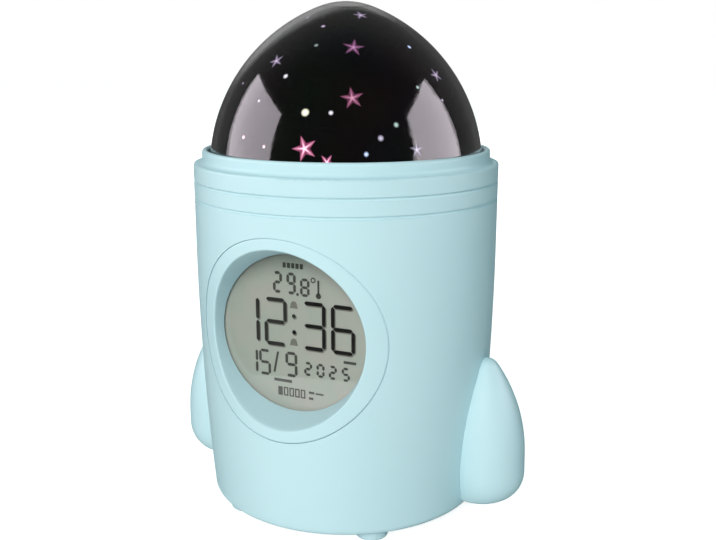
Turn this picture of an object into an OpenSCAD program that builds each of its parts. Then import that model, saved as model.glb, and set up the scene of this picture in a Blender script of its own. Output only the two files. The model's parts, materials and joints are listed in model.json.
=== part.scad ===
// Rocket-shaped alarm clock with a turning star dome.
// The display faces -Y, the fins stand on -X and +X, and the feet rest on z = 0.

/* [Housing] */
// Diameter of the barrel at its shoulder
body_d = 105; // [102:0.5:108]
// Narrowing of the barrel towards its bottom edge, on each side
taper_in = 3.9; // [3:0.1:4.4]
// Height from the bottom edge to the shoulder
body_h = 117.4; // [116:0.2:124]
// Height of the straight stretch under the shoulder
straight_h = 28; // [24:1:34]
// Wall of the housing
wall = 2.4; // [2.2:0.1:2.6]
// Rounding of the bottom edge
edge_r = 1.5; // [0.8:0.1:1.8]
// Height of the feet under the bottom edge
foot_h = 4; // [3:0.5:6]
// Diameter of a foot
foot_d = 11; // [8:0.5:12]
// Height from the shoulder down to the seam of the top ring
ring_h = 6; // [5:0.2:6.6]
// Height from the seam down to the groove under it
groove_drop = 5.7; // [4:0.1:6.4]
// Gap between parts that fit into each other
fit = 0.2; // [0.1:0.05:0.3]

/* [Top ring] */
// Width of the flat shoulder outside the collar
shoulder_w = 3; // [2.7:0.1:3.4]
// Thickness of the collar
collar_w = 1.9; // [1.7:0.1:2.3]
// Height of the collar above the shoulder
collar_h = 4.5; // [4:0.1:6]

/* [Dome] */
// Gap between the collar and the dome
dome_gap = 0.4; // [0.3:0.05:0.6]
// Height of the dome above the shoulder
dome_h = 53.1; // [50:0.5:58]
// Radius of the rounded nose of the dome
nose_r = 25.7; // [22:0.5:30]
// Wall of the clear cover
cover_wall = 1.5; // [1.2:0.1:1.8]
// Wall of the black star mask
mask_wall = 0.8; // [0.6:0.1:1.2]
// Width of the openings in the mask, from tip to tip of a large star
star_d = 7.6; // [6:0.2:9]

/* [Gear ring] */
// Teeth of the ring gear
ring_teeth = 72; // [66:6:84]
// Teeth of the pinion
pinion_teeth = 12; // [12:1:15]

/* [Display] */
// Diameter of the round window
window_d = 52.4; // [50:0.2:53]
// Depth of the window behind the front of the barrel
window_depth = 12.3; // [11.5:0.1:13]
// Width of the ring between the funnel and the edge of the display insert
bezel_land = 3.65; // [3:0.05:4.2]
// Distance from the lower groove down to the display insert
display_gap = 7.1; // [5:0.1:9]
// Slope of the funnel round the window, sideways per depth
funnel_slope = 0.28; // [0.2:0.01:0.32]

/* [Fins] */
// Height of a fin from its belly to its tip
fin_len = 34.8; // [31:0.2:38]
// Radius of a fin at its belly
fin_r = 13.3; // [12:0.1:14]
// Radius of the rounded tip of a fin
fin_nose_r = 2.6; // [2.5:0.1:4]
// Distance of a fin's axis outside the barrel's shoulder
fin_out = 1.2; // [0.4:0.1:1.6]
// Lean of a fin towards the clock
fin_lean = 2; // [1:0.5:3]
// Wall of a fin
fin_wall = 2; // [1.6:0.1:2.2]

/* [Rear controls] */
// Depth of the recessed panel behind the back of the barrel
panel_depth = 8.5; // [8:0.1:9.5]
// Width of the rear panel
panel_w = 43.6; // [43:0.2:44.4]
// Height of the rear panel
panel_h = 61.6; // [61:0.2:64]
// Drop of the panel's centre below the display's centre
panel_drop = 3.3; // [1:0.1:5]
// Diameter of a button cap
button_d = 8.4; // [7.6:0.1:9]
// Travel of a button
button_travel = 0.8; // [0.5:0.1:0.8]
// Travel of the slide switch
switch_travel = 4; // [3:0.25:4]

/* [Battery bay] */
// Diameter of one cell
cell_d = 10.5; // [10:0.1:10.8]
// Length of one cell
cell_len = 44.5; // [43:0.5:45]
// Number of cells side by side
cells = 3; // [3:1:3]
// Wall of the battery door
door_t = 1.8; // [1.6:0.1:2]

/* [Hidden] */
$fn = 96;

// colours
shell_blue = "#B9E2E7";
black_plastic = "#18181B";
clear_plastic = [0.85, 0.92, 0.95, 0.4];
board_green = "#2F6B4A";
steel = "#B7BABD";
white_plastic = "#EDEDE8";

// levels, from the table up
z_base = foot_h;
z_shoulder = z_base + body_h;
z_taper = z_shoulder - straight_h;
z_seam = z_shoulder - ring_h;
z_groove = z_seam - groove_drop;
z_collar = z_shoulder + collar_h;
z_top = z_shoulder + dome_h;

// barrel
body_r = body_d / 2;
base_r = body_r - taper_in;
taper_h = z_taper - z_base;
arc_r = (taper_h * taper_h + taper_in * taper_in) / (2 * taper_in);
groove_r = 0.5;
inner_r = body_r - wall;

// screws: shank, pilot hole, clearance hole, head and the lengths in use
screw_r = 1.0;
pilot_r = screw_r + 0.05;
clear_r = screw_r + 0.3;
head_r = 2.0;
head_t = 1.3;
boss_r = 3;
ear_r = boss_r + 0.4;
seat_gap = 0.05;
tip_gap = 1;
small_screw = 5;
panel_screw = 7;
long_screw = 8;
fin_screw = 9;
deck_screw = 3;

// deck, turntable and top ring, measured down from the shoulder
deck_t = 2;
skirt_z = z_seam - 3;
deck_z = skirt_z - deck_t;
ledge_t = 2.4;
ledge_in = 4;
rail_t = 0.5;
run_gap = 0.1;
table_z = skirt_z + rail_t + run_gap;
table_t = 2.2;
collar_r = body_r - shoulder_w;
ring_bore = collar_r - collar_w;
dome_r = ring_bore - dome_gap;
table_r = dome_r + 1;
flange_t = 0.8;
recess_r = table_r + 0.3;
recess_z = table_z + table_t + flange_t + 0.3;
skirt_r = inner_r - fit;
deck_screw_r = inner_r - 2;
deck_screw_n = 4;
belly_z = table_z + table_t + 2.2;
dome_len = z_top - belly_z;
mask_gap = 0.1;
mask_z = z_collar - 3.6;
dome_boss_r = 2.4;
dome_screw_r = dome_r - cover_wall - dome_boss_r - 0.1;
dome_screw_n = 3;

// gears: the ring's pitch circle lies inside the screws of the dome
gear_rim = 5.2;
ring_pitch_r = dome_screw_r - head_r - gear_rim;
tooth_m = 2 * ring_pitch_r / ring_teeth;
pinion_pitch_r = tooth_m * pinion_teeth / 2;
gear_offset = ring_pitch_r - pinion_pitch_r;
gear_angle = 45;
pinion_t = 1.9;
hub_t = 1.5;
backlash = 0.25 * tooth_m;
shaft_r = 1.5;
shaft_in = 3;
motor_r = 11;
motor_h = 15;
gearbox_h = 6;
lug_t = 1.2;
lug_r = 2.6;
motor_screw_offset = motor_r + lug_r;

// light engine
tower_r = 17;
tower_top = table_z + table_t + 2;
light_t = 1.6;
light_z = tower_top;
led_spread = 6;
led_r = 2.5;
led_h = 5.3;
lamp_z = light_z + light_t + led_h - led_r;
light_screw_x = tower_r - 4.5;

// display stack, measured towards the front from the axis
window_r = window_d / 2;
window_y = body_r - window_depth;
window_t = 1;
bezel_r = window_r + window_depth * funnel_slope + bezel_land;
z_display = z_groove - display_gap - bezel_r;
funnel_len = window_depth + 6;
rim_y = window_y - window_t;
seat_r = window_r + 1.6;
glass_y = rim_y - 0.1;
glass_t = 2.6;
lcd_side = window_d + 1.6;
light_plate_y = glass_y - glass_t - 0.1;
light_plate_t = 3;
frame_side = lcd_side + 5;
frame_back_y = light_plate_y - light_plate_t - 1.5;
board_t = 1.6;
board_y = frame_back_y - 0.1;
board_w = frame_side + 3;
board_h = frame_side + 5;
ear_ring_r = bezel_r + fit + boss_r + 1.05;
ear_x = ear_ring_r * cos(60);
ear_z = ear_ring_r * sin(60);
ear_t = 1.6;
display_head_y = -rim_y + 2 * (ear_t + seat_gap);
board_screw = frame_side / 2 - 4;

// rear panel stack, measured towards the back from the axis
z_panel = z_display - panel_drop;
face_y = body_r - panel_depth;
panel_t = 2;
panel_back = face_y - panel_t;
tray_wall = 1.8;
panel_ear_z = panel_h / 2 + 5;
button_r = button_d / 2;
button_proud = 3;
flange_r = button_r + 0.9;
flange_y = panel_back - fit;
flange_thick = 1.1;
stem_end = flange_y - flange_thick - 0.4;
tact_top = stem_end - button_travel - 0.1;
tact_t = 3.5;
tact_side = 6;
plunger_t = 0.8;
control_t = 1.6;
control_y = tact_top - plunger_t - tact_t;
control_w = panel_w - 5.6;
control_h = panel_h - 3.6;
button_x = panel_w / 2 - 12.3;
button_pitch = panel_h / 4 - 3.4;
button_top = panel_h / 2 - 9.8;
button_rows = [for (i = [0:2]) button_top - i * button_pitch];
slot_z = button_rows[2] - 10.5;
knob_w = 5;
knob_h = 4;
usb_z = slot_z - 9.5;
usb_w = 9;
usb_h = 3.3;
post_x = control_w / 2 - 2.6;
post_z = control_h / 2 - 3;
post_r = 2.2;
corner_r = 5;

// fins
fin_x = body_r + fin_out;
fin_z = z_base + 19;
fin_floor = z_base + 0.5;
fin_edge_r = fin_r - 0.8;
fin_screw_low = -4;
fin_screw_step = 20;
fin_screw_z = [fin_z + fin_screw_low, fin_z + fin_screw_low + fin_screw_step];
fin_post_r = 3;
fin_steps = 12;

// base
plate_z = z_base + 0.6;
plate_t = 3;
plate_r = base_r - wall - fit;
foot_ring_r = plate_r - foot_d / 2 - fit;
foot_angle = 37;
foot_angles = [foot_angle, 180 - foot_angle, 180 + foot_angle, 360 - foot_angle];
base_screw_ring = plate_r - 3.9;
base_screw_turn = 17.3;
base_boss_h = 12;
bay_gap = 0.5;
contact_gap = 3.2;
bay_len = cell_len + 2 * contact_gap;
bay_w = cells * (cell_d + bay_gap);
bay_wall = 1.6;
bay_mid_y = -8.5;
bay_y0 = bay_mid_y - bay_w / 2;
door_gap = 0.25;
hinge_r = door_t / 2;
bay_roof = plate_z + door_t + cell_d + 0.9;
tab_t = 0.8;
tab_len = 1.6;
tab_w = 6;
tab_x = 15;
speaker_r = 13;
speaker_y = plate_r - speaker_r - 4.5;
speaker_h = 7;
gasket_t = 1;
grille_slots = 5;
grille_pitch = 3.6;
grille_w = 1.6;

// ---- shared shapes ----

// An ogive stands on y = 0: belly radius r, rounded nose, height len. Its side is an arc round a
// centre that lies off the axis on the far side, and runs smoothly into the nose at the height "meet".
function ogive_off(r, nose, len) = (pow(len - nose, 2) - pow(r - nose, 2)) / (2 * (r - nose));
function ogive_meet(r, nose, len) =
    let (big = ogive_off(r, nose, len) + r) (len - nose) * big / (big - nose);

// Half profile of an ogive, with true arcs.
module ogive_2d(r, nose, len) {
    off = ogive_off(r, nose, len);
    meet = ogive_meet(r, nose, len);
    intersection() {
        translate([-off, 0]) circle(r = off + r, $fn = 256);
        square([r + 1, meet]);
    }
    intersection() {
        translate([0, len - nose]) circle(r = nose, $fn = 128);
        translate([0, meet]) square([nose + 1, len - meet + 1]);
    }
}

// The same half profile as points: n along the side and n round the nose.
function ogive_points(r, nose, len, n) =
    let (off = ogive_off(r, nose, len), side = asin(ogive_meet(r, nose, len) / (off + r)))
    concat([[0, 0]],
        [for (i = [0:n]) let (a = side * i / n) [(off + r) * cos(a) - off, (off + r) * sin(a)]],
        [for (i = [1:n]) let (a = side + (90 - side) * i / n) [nose * cos(a), len - nose + nose * sin(a)]]);

// Half profile of the barrel, moved inwards by inset, between the heights z0 and z1.
module barrel_2d(inset, z0, z1) {
    if (z1 > z_taper)
        translate([0, max(z0, z_taper)]) square([body_r - inset, z1 - max(z0, z_taper)]);
    if (z0 < z_taper)
        intersection() {
            translate([body_r - arc_r, z_taper]) circle(r = arc_r - inset, $fn = 256);
            translate([0, z0]) square([body_r + 1, min(z1, z_taper) - z0]);
        }
}

module barrel(inset, z0, z1) {
    rotate_extrude(convexity = 4) barrel_2d(inset, z0, z1);
}

// Cylinder along Y, from depth y0 to depth y1.
module rod_y(r, y0, y1) {
    translate([0, y1, 0]) rotate([90, 0, 0]) cylinder(r = r, h = y1 - y0);
}

// Block with round corners in X and Z, from depth y0 to depth y1.
module slab_y(w, h, r, y0, y1) {
    translate([0, y1, 0]) rotate([90, 0, 0]) linear_extrude(y1 - y0) round_square(w, h, r);
}

module round_square(w, h, r) {
    square([w - 2 * r, h], center = true);
    square([w, h - 2 * r], center = true);
    for (x = [-1, 1], z = [-1, 1])
        translate([x * (w / 2 - r), z * (h / 2 - r)]) circle(r = r);
}

// Pan-head screw along +Z: the head lies under z = 0 and the shank of length len above it.
module screw(len) {
    translate([0, 0, -head_t]) difference() {
        cylinder(r = head_r, h = head_t);
        translate([-head_r * 0.6, -0.25, -0.1]) cube([head_r * 1.2, 0.5, 0.7]);
        translate([-0.25, -head_r * 0.6, -0.1]) cube([0.5, head_r * 1.2, 0.7]);
    }
    cylinder(r = screw_r, h = len);
}

module at_display() { translate([0, 0, z_display]) children(); }
module at_panel() { translate([0, 0, z_panel]) children(); }
module at_ears() {
    for (x = [-1, 1], z = [-1, 1])
        translate([x * ear_x, 0, z * ear_z]) children();
}
module at_base_screws() {
    for (m = [0, 1], t = [-1, 1])
        rotate(180 * m + t * base_screw_turn) translate([base_screw_ring, 0, 0]) children();
}
module at_polar(n, r, start = 0) {
    for (i = [0:n - 1]) rotate(start + i * 360 / n) translate([r, 0, 0]) children();
}

// ---- housing ----

module shell_2d() {
    difference() {
        barrel_2d(0, z_base, z_seam);
        translate([0, -1]) barrel_2d(wall, z_base, z_seam + 2);
        // bead groove for the top ring
        translate([inner_r - 0.1, skirt_z + 1.4]) circle(r = 0.65, $fn = 24);
        // decorative groove and half of the seam groove
        translate([body_r, z_groove]) circle(r = groove_r, $fn = 24);
        translate([body_r, z_seam]) circle(r = groove_r, $fn = 24);
        // rounded bottom edge
        difference() {
            translate([base_r - edge_r, z_base - 1]) square([edge_r + 1, edge_r + 1]);
            translate([base_r - edge_r, z_base + edge_r]) circle(r = edge_r, $fn = 48);
        }
    }
    // ledge that carries the deck
    intersection() {
        translate([inner_r - ledge_in, deck_z - ledge_t]) square([ledge_in + wall / 2, ledge_t]);
        barrel_2d(wall / 2, z_base, z_seam);
    }
}

// Screw pillars on the inside of the barrel, cut off along the barrel.
module shell_pillars() {
    intersection() {
        barrel(wall / 2, z_base, z_seam);
        union() {
            at_display() at_ears() rod_y(boss_r, -body_r, -rim_y - 0.05);
            at_panel() for (z = [-1, 1])
                translate([0, 0, z * panel_ear_z]) rod_y(boss_r, panel_back + ear_t + 0.05, body_r);
            at_base_screws() translate([0, 0, plate_z + plate_t]) {
                cylinder(r = boss_r, h = base_boss_h);
                translate([0, -1, 0]) cube([boss_r + 5, 2, base_boss_h]);
            }
        }
    }
}

module body_shell() {
    color(shell_blue) difference() {
        union() {
            rotate_extrude(convexity = 6) shell_2d();
            shell_pillars();
        }
        at_display() {
            rod_y(bezel_r + fit, -body_r - 1, -body_r / 2);
            at_ears() rod_y(pilot_r, display_head_y - long_screw - tip_gap, -rim_y + 1);
        }
        at_panel() {
            slab_y(panel_w + 2 * fit, panel_h + 2 * fit, corner_r + fit, body_r / 2, body_r + 1);
            for (z = [-1, 1])
                translate([0, 0, z * panel_ear_z])
                    rod_y(pilot_r, panel_back, panel_back + panel_screw + tip_gap);
        }
        at_base_screws() translate([0, 0, plate_z]) cylinder(r = pilot_r, h = long_screw + head_t + tip_gap);
        for (x = [-1, 1], z = fin_screw_z)
            translate([0, 0, z]) rotate([0, x * 90, 0]) cylinder(r = clear_r, h = body_r + 1);
        at_polar(deck_screw_n, deck_screw_r, 45)
            translate([0, 0, deck_z - ledge_t - 1]) cylinder(r = pilot_r, h = ledge_t + 2);
    }
}

module ring_2d() {
    rim_r = collar_w / 2;
    edge = 0.8;
    neck = 1.5;
    difference() {
        union() {
            // shoulder with a rounded edge
            translate([ring_bore, recess_z]) square([body_r - edge - ring_bore, z_shoulder - recess_z]);
            translate([recess_r, z_seam]) square([body_r - recess_r, z_shoulder - edge - z_seam]);
            translate([body_r - edge, z_shoulder - edge]) circle(r = edge, $fn = 48);
            // collar with a round rim
            translate([ring_bore, z_shoulder]) square([2 * rim_r, collar_h - rim_r]);
            translate([ring_bore + rim_r, z_collar - rim_r]) circle(r = rim_r, $fn = 48);
            // hollow fillet between the shoulder and the collar
            difference() {
                translate([collar_r - 0.1, z_shoulder - 0.1]) square(neck + 0.1);
                translate([collar_r + neck, z_shoulder + neck]) circle(r = neck, $fn = 48);
            }
            // skirt and snap bead inside the barrel
            translate([recess_r, skirt_z]) square([skirt_r - recess_r, ring_h]);
            translate([skirt_r - 0.1, skirt_z + 1.4]) circle(r = 0.45, $fn = 24);
        }
        translate([body_r, z_seam]) circle(r = groove_r, $fn = 24);
    }
}

module top_ring() {
    color(shell_blue) rotate_extrude(convexity = 6) ring_2d();
}

// ---- fins ----

module fin_2d(inset) {
    difference() {
        union() {
            polygon(ogive_points(fin_r - inset, fin_nose_r - inset, fin_len - inset, fin_steps));
            translate([0, fin_floor - fin_z - 1 + inset])
                square([fin_r - inset, fin_z - fin_floor + 1 - inset]);
        }
        difference() {
            translate([fin_r - fin_edge_r, fin_floor - fin_z - 2]) square([fin_edge_r + 1, fin_edge_r + 2]);
            translate([fin_r - fin_edge_r, fin_floor - fin_z + fin_edge_r])
                circle(r = fin_edge_r - inset, $fn = 64);
        }
    }
}

module fin_body(inset) {
    intersection() {
        translate([fin_x, 0, fin_z]) rotate([0, -fin_lean, 0]) rotate_extrude(convexity = 4) fin_2d(inset);
        translate([0, -body_r, fin_floor + inset]) cube([2 * body_r, body_d, 2 * fin_len]);
    }
}

module fin() {
    difference() {
        union() {
            difference() {
                fin_body(0);
                fin_body(fin_wall);
            }
            intersection() {
                fin_body(0.5);
                for (z = fin_screw_z)
                    translate([base_r - wall, 0, z]) rotate([0, 90, 0])
                        cylinder(r = fin_post_r, h = 2 * fin_r);
            }
        }
        barrel(-0.02, z_base - 1, z_seam);
        for (z = fin_screw_z)
            translate([base_r - wall, 0, z]) rotate([0, 90, 0])
                cylinder(r = pilot_r, h = taper_in + fin_screw + tip_gap);
    }
}

module fin_right() { color(shell_blue) fin(); }
module fin_left() { color(shell_blue) rotate(180) fin(); }

// Inner radius of the barrel at height z.
function barrel_inner(z) = z > z_taper ? inner_r
    : body_r - arc_r + sqrt(pow(arc_r - wall, 2) - pow(z_taper - z, 2));

module fin_screws() {
    color(steel) for (a = [0, 180], z = fin_screw_z)
        rotate(a) translate([barrel_inner(z) - 0.35, 0, z]) rotate([0, 90, 0]) screw(fin_screw);
}

// ---- display ----

module display_bezel() {
    front_wall = 2.2;
    side_wall = 1.6;
    funnel_r = seat_r + 1.4;
    color(shell_blue) difference() {
        at_display() union() {
            intersection() {
                rod_y(bezel_r, -body_r - 1, -rim_y);
                translate([0, 0, -z_display]) barrel(0, z_base, z_seam);
            }
            // ears behind the wall
            rotate([90, 0, 0]) translate([0, 0, rim_y - ear_t]) linear_extrude(ear_t) ear_2d();
        }
        at_display() {
            // funnel
            translate([0, -window_y, 0]) rotate([90, 0, 0])
                cylinder(r1 = window_r, r2 = window_r + funnel_len * funnel_slope, h = funnel_len);
            rod_y(window_r - 0.8, -window_y - 1, -rim_y + ear_t + 1);
            // window seat
            rod_y(seat_r, -window_y, -rim_y + ear_t + 1);
            // hollow back
            intersection() {
                difference() {
                    rod_y(bezel_r - side_wall, -body_r, -rim_y + 0.01);
                    translate([0, -rim_y + 0.02, 0]) rotate([90, 0, 0])
                        cylinder(r1 = funnel_r, r2 = funnel_r + funnel_len * funnel_slope, h = funnel_len);
                }
                translate([0, 0, -z_display]) barrel(front_wall, z_base, z_seam);
            }
            at_ears() rod_y(clear_r, -rim_y - 1, -rim_y + ear_t + 1);
        }
    }
}

// Four ears that reach from the back of the insert to the screw pillars.
module ear_2d() {
    difference() {
        for (x = [-1, 1], z = [-1, 1])
            hull() {
                translate([x * ear_x, z * ear_z]) circle(r = ear_r, $fn = 32);
                translate([x * ear_x * 0.86, z * ear_z * 0.86]) circle(r = ear_r, $fn = 32);
            }
        square(lcd_side + 1, center = true);
    }
}

module display_window() {
    color(clear_plastic) at_display() rod_y(seat_r - fit, -window_y, -rim_y);
}

module lcd_panel() {
    color("#A7AF9F") at_display() slab_y(lcd_side, lcd_side, 0.6, -glass_y, -glass_y + glass_t);
}

module backlight_plate() {
    color(white_plastic) at_display()
        slab_y(lcd_side - 2, lcd_side - 12, 1, -light_plate_y, -light_plate_y + light_plate_t);
}

module lcd_frame() {
    front = -rim_y + ear_t + 0.05;
    color(white_plastic) at_display() difference() {
        union() {
            slab_y(frame_side, frame_side, 2, front, -frame_back_y);
            rotate([90, 0, 0]) translate([0, 0, -front - ear_t]) linear_extrude(ear_t) ear_2d();
        }
        slab_y(lcd_side + 2 * fit, lcd_side + 2 * fit, 0.8, -glass_y - 1, -light_plate_y);
        slab_y(lcd_side - 2 + 2 * fit, lcd_side - 12 + 2 * fit, 1.2, -glass_y - 1, -frame_back_y - 1.4);
        for (z = [-1, 1])
            translate([0, 0, z * (lcd_side / 2 - 2.5)])
                slab_y(lcd_side - 4, 2.6, 0.5, -glass_y - 1, -frame_back_y + 1);
        at_ears() rod_y(clear_r, -rim_y - 1, -frame_back_y + 1);
        for (x = [-1, 1], z = [-1, 1])
            translate([x * board_screw, 0, z * board_screw])
                rod_y(pilot_r, -light_plate_y, -frame_back_y + 1);
    }
}

module lcd_connectors() {
    color("#D8A8B4") at_display() for (z = [-1, 1])
        translate([0, 0, z * (lcd_side / 2 - 2.5)])
            slab_y(lcd_side - 5, 2.2, 0.4, -glass_y + glass_t + 0.05, -board_y - 0.02);
}

module main_board() {
    color(board_green) at_display() difference() {
        slab_y(board_w, board_h, 2, -board_y, -board_y + board_t);
        for (x = [-1, 1], z = [-1, 1])
            translate([x * board_screw, 0, z * board_screw])
                rod_y(clear_r, -board_y - 1, -board_y + board_t + 1);
    }
}

module controller_chip() {
    back = -board_y + board_t;
    side = 12;
    pins = 11;
    pitch = side / (pins + 1);
    pin_w = 0.4 * pitch;
    pin_len = 1.4 * pitch;
    off = (side + pin_len - 0.2) / 2;
    color(black_plastic) at_display() {
        slab_y(side, side, 0.3, back + 0.02, back + 1.6);
        for (s = [-1, 1], i = [0:pins - 1]) {
            at = (i - (pins - 1) / 2) * pitch;
            translate([at, 0, s * off]) slab_y(pin_w, pin_len, 0.1, back + 0.02, back + 0.4);
            translate([s * off, 0, at]) slab_y(pin_len, pin_w, 0.1, back + 0.02, back + 0.4);
        }
    }
}

module display_screws() {
    color(steel) at_display() at_ears()
        translate([0, display_head_y, 0]) rotate([90, 0, 0]) screw(long_screw);
}

module board_screws() {
    color(steel) at_display() for (x = [-1, 1], z = [-1, 1])
        translate([x * board_screw, -board_y + board_t + 0.02, z * board_screw])
            rotate([90, 0, 0]) screw(small_screw);
}

// ---- rear controls ----

module button_places() {
    for (i = [0:2], x = [-1, 1]) translate([x * button_x, 0, button_rows[i]]) children();
}

module rear_panel() {
    color(shell_blue) at_panel() difference() {
        union() {
            intersection() {
                slab_y(panel_w, panel_h, corner_r, panel_back, body_r + 1);
                translate([0, 0, -z_panel]) barrel(0, z_base, z_seam);
            }
            for (z = [-1, 1]) {
                translate([0, 0, z * panel_ear_z]) rod_y(ear_r, panel_back, panel_back + ear_t);
                translate([-ear_r, panel_back, z > 0 ? panel_h / 2 - panel_t : -panel_ear_z])
                    cube([2 * ear_r, ear_t, panel_ear_z - panel_h / 2 + panel_t]);
            }
            for (x = [-1, 1], z = [-1, 1])
                translate([x * post_x, 0, z * post_z])
                    rod_y(post_r, control_y + control_t + 0.02, panel_back + 0.5);
        }
        slab_y(panel_w - 2 * tray_wall, panel_h - 2 * tray_wall, corner_r - tray_wall, face_y, body_r + 2);
        button_places() rod_y(button_r + fit, panel_back - 1, face_y + 1);
        translate([0, 0, slot_z])
            slab_y(knob_w + switch_travel + 2 * fit, knob_h + 2 * fit, 0.8, panel_back - 1, face_y + 1);
        translate([0, 0, usb_z])
            slab_y(usb_w + 2 * fit, usb_h + 2 * fit, 1.4, panel_back - 1, face_y + 1);
        for (z = [-1, 1])
            translate([0, 0, z * panel_ear_z]) rod_y(clear_r, panel_back - 1, panel_back + ear_t + 1);
        for (x = [-1, 1], z = [-1, 1])
            translate([x * post_x, 0, z * post_z])
                rod_y(pilot_r, control_y, control_y + small_screw + tip_gap);
    }
}

// Cap with a rounded top edge, a flange behind the panel and a stem to the switch.
module button(col, row) {
    edge = 0.7;
    cap_top = face_y + button_proud;
    color(white_plastic) at_panel() translate([col * button_x, 0, button_rows[row]])
        translate([0, stem_end, 0]) rotate([-90, 0, 0]) rotate_extrude() {
            square([1.5, flange_y - stem_end]);
            translate([0, flange_y - flange_thick - stem_end]) square([flange_r, flange_thick]);
            translate([0, flange_y - flange_thick - stem_end])
                square([button_r, cap_top - edge - flange_y + flange_thick]);
            square([button_r - edge, cap_top - stem_end]);
            translate([button_r - edge, cap_top - edge - stem_end]) circle(r = edge, $fn = 32);
        }
}

module alarm_button() { button(-1, 0); }
module mode_button() { button(1, 0); }
module up_button() { button(-1, 1); }
module down_button() { button(1, 1); }
module light_button() { button(-1, 2); }
module sound_button() { button(1, 2); }

module switch_slider() {
    color(white_plastic) at_panel() translate([-switch_travel / 2, 0, slot_z]) {
        slab_y(knob_w, knob_h, 0.7, flange_y - 0.5, face_y + 2);
        for (x = [-1:1]) translate([x * 1.4, 0, 0]) slab_y(0.6, knob_h - 1, 0.2, face_y + 1.9, face_y + 2.3);
        slab_y(knob_w + switch_travel + 3, knob_h + 3, 0.8, flange_y - flange_thick, flange_y);
        slab_y(1.6, 2, 0.3, flange_y - flange_thick - 1.4, flange_y - flange_thick + 0.1);
    }
}

module slide_switch() {
    top = flange_y - flange_thick - 0.3;
    color(steel) at_panel() translate([0, 0, slot_z]) difference() {
        slab_y(12, 5.4, 0.3, control_y + control_t + 0.02, top);
        slab_y(1.6 + switch_travel + 0.8, 2.8, 0.3, top - 1.6, top + 1);
    }
}

module control_board() {
    color(board_green) at_panel() difference() {
        slab_y(control_w, control_h, 1.5, control_y, control_y + control_t);
        for (x = [-1, 1], z = [-1, 1])
            translate([x * post_x, 0, z * post_z]) rod_y(clear_r, control_y - 1, control_y + control_t + 1);
    }
}

module tact_switches() {
    color(black_plastic) at_panel() button_places() {
        slab_y(tact_side, tact_side, 0.4, control_y + control_t + 0.02, control_y + tact_t);
        rod_y(1.7, control_y + tact_t - 0.1, tact_top);
    }
}

module usb_socket() {
    front = face_y - 0.4;
    color(steel) at_panel() translate([0, 0, usb_z]) {
        difference() {
            slab_y(usb_w, usb_h, 1.2, control_y + control_t + 0.02, front);
            slab_y(usb_w - 0.6, usb_h - 0.6, 0.95, front - 6.2, front + 1);
        }
        slab_y(6.7, 0.7, 0.1, front - 6.4, front - 1);
    }
}

module temperature_sensor() {
    front = control_y + control_t;
    color(black_plastic) at_panel() translate([0, 0, post_z]) {
        rod_y(1.2, front + 1.5, front + 3.5);
        for (x = [-1, 1]) translate([x * 0.6, 0, 0]) rod_y(0.3, front + 0.02, front + 1.6);
    }
}

module panel_screws() {
    color(steel) at_panel() for (z = [-1, 1])
        translate([0, panel_back - 0.02, z * panel_ear_z]) rotate([-90, 0, 0]) screw(panel_screw);
}

module control_screws() {
    color(steel) at_panel() for (x = [-1, 1], z = [-1, 1])
        translate([x * post_x, control_y - 0.02, z * post_z]) rotate([-90, 0, 0]) screw(small_screw);
}

// ---- base ----

module foot() {
    round_r = 1;
    rotate_extrude() {
        square([foot_d / 2 - round_r, plate_z]);
        translate([0, round_r]) square([foot_d / 2, plate_z - round_r]);
        translate([foot_d / 2 - round_r, round_r]) circle(r = round_r, $fn = 32);
    }
}

module base_cover() {
    color(shell_blue) difference() {
        union() {
            translate([0, 0, plate_z]) cylinder(r = plate_r, h = plate_t);
            for (a = foot_angles) rotate(a - 90) translate([foot_ring_r, 0, 0]) foot();
            // walls and roof of the battery bay
            translate([-bay_len / 2 - bay_wall, bay_y0 - bay_wall, plate_z])
                cube([bay_len + 2 * bay_wall, bay_w + 2 * bay_wall, bay_roof + bay_wall - plate_z]);
            // rim that holds the speaker
            translate([0, speaker_y, plate_z]) cylinder(r = speaker_r + 1.6, h = plate_t + 2.5);
        }
        translate([-bay_len / 2, bay_y0, plate_z - 1]) cube([bay_len, bay_w, bay_roof - plate_z + 1]);
        // pockets for the door's hooks and a finger notch at its latch
        for (x = [-1, 1])
            translate([x * tab_x - tab_w / 2, bay_y0 - tab_len - 0.4, plate_z + door_t - tab_t])
                translate([-door_gap, 0, -door_gap]) cube([tab_w + 2 * door_gap, tab_len + 1, 3.4]);
        translate([0, bay_y0 + bay_w, plate_z - 1]) cylinder(r = 4, h = 2);
        // speaker seat and grille
        translate([0, speaker_y, plate_z + plate_t]) cylinder(r = speaker_r + fit, h = 4);
        for (i = [0:grille_slots - 1]) {
            off = (i - (grille_slots - 1) / 2) * grille_pitch;
            half = sqrt(pow(speaker_r - 3, 2) - off * off);
            translate([off, speaker_y, plate_z - 1])
                linear_extrude(plate_t + 2) round_square(grille_w, 2 * half, grille_w / 2 - 0.05);
        }
        at_base_screws() translate([0, 0, plate_z - 1]) {
            cylinder(r = clear_r, h = plate_t + 2);
            cylinder(r = head_r + 0.3, h = head_t + 1.2);
        }
    }
}

module base_screws() {
    color(steel) at_base_screws() translate([0, 0, plate_z + head_t + 0.18]) screw(long_screw);
}

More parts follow.
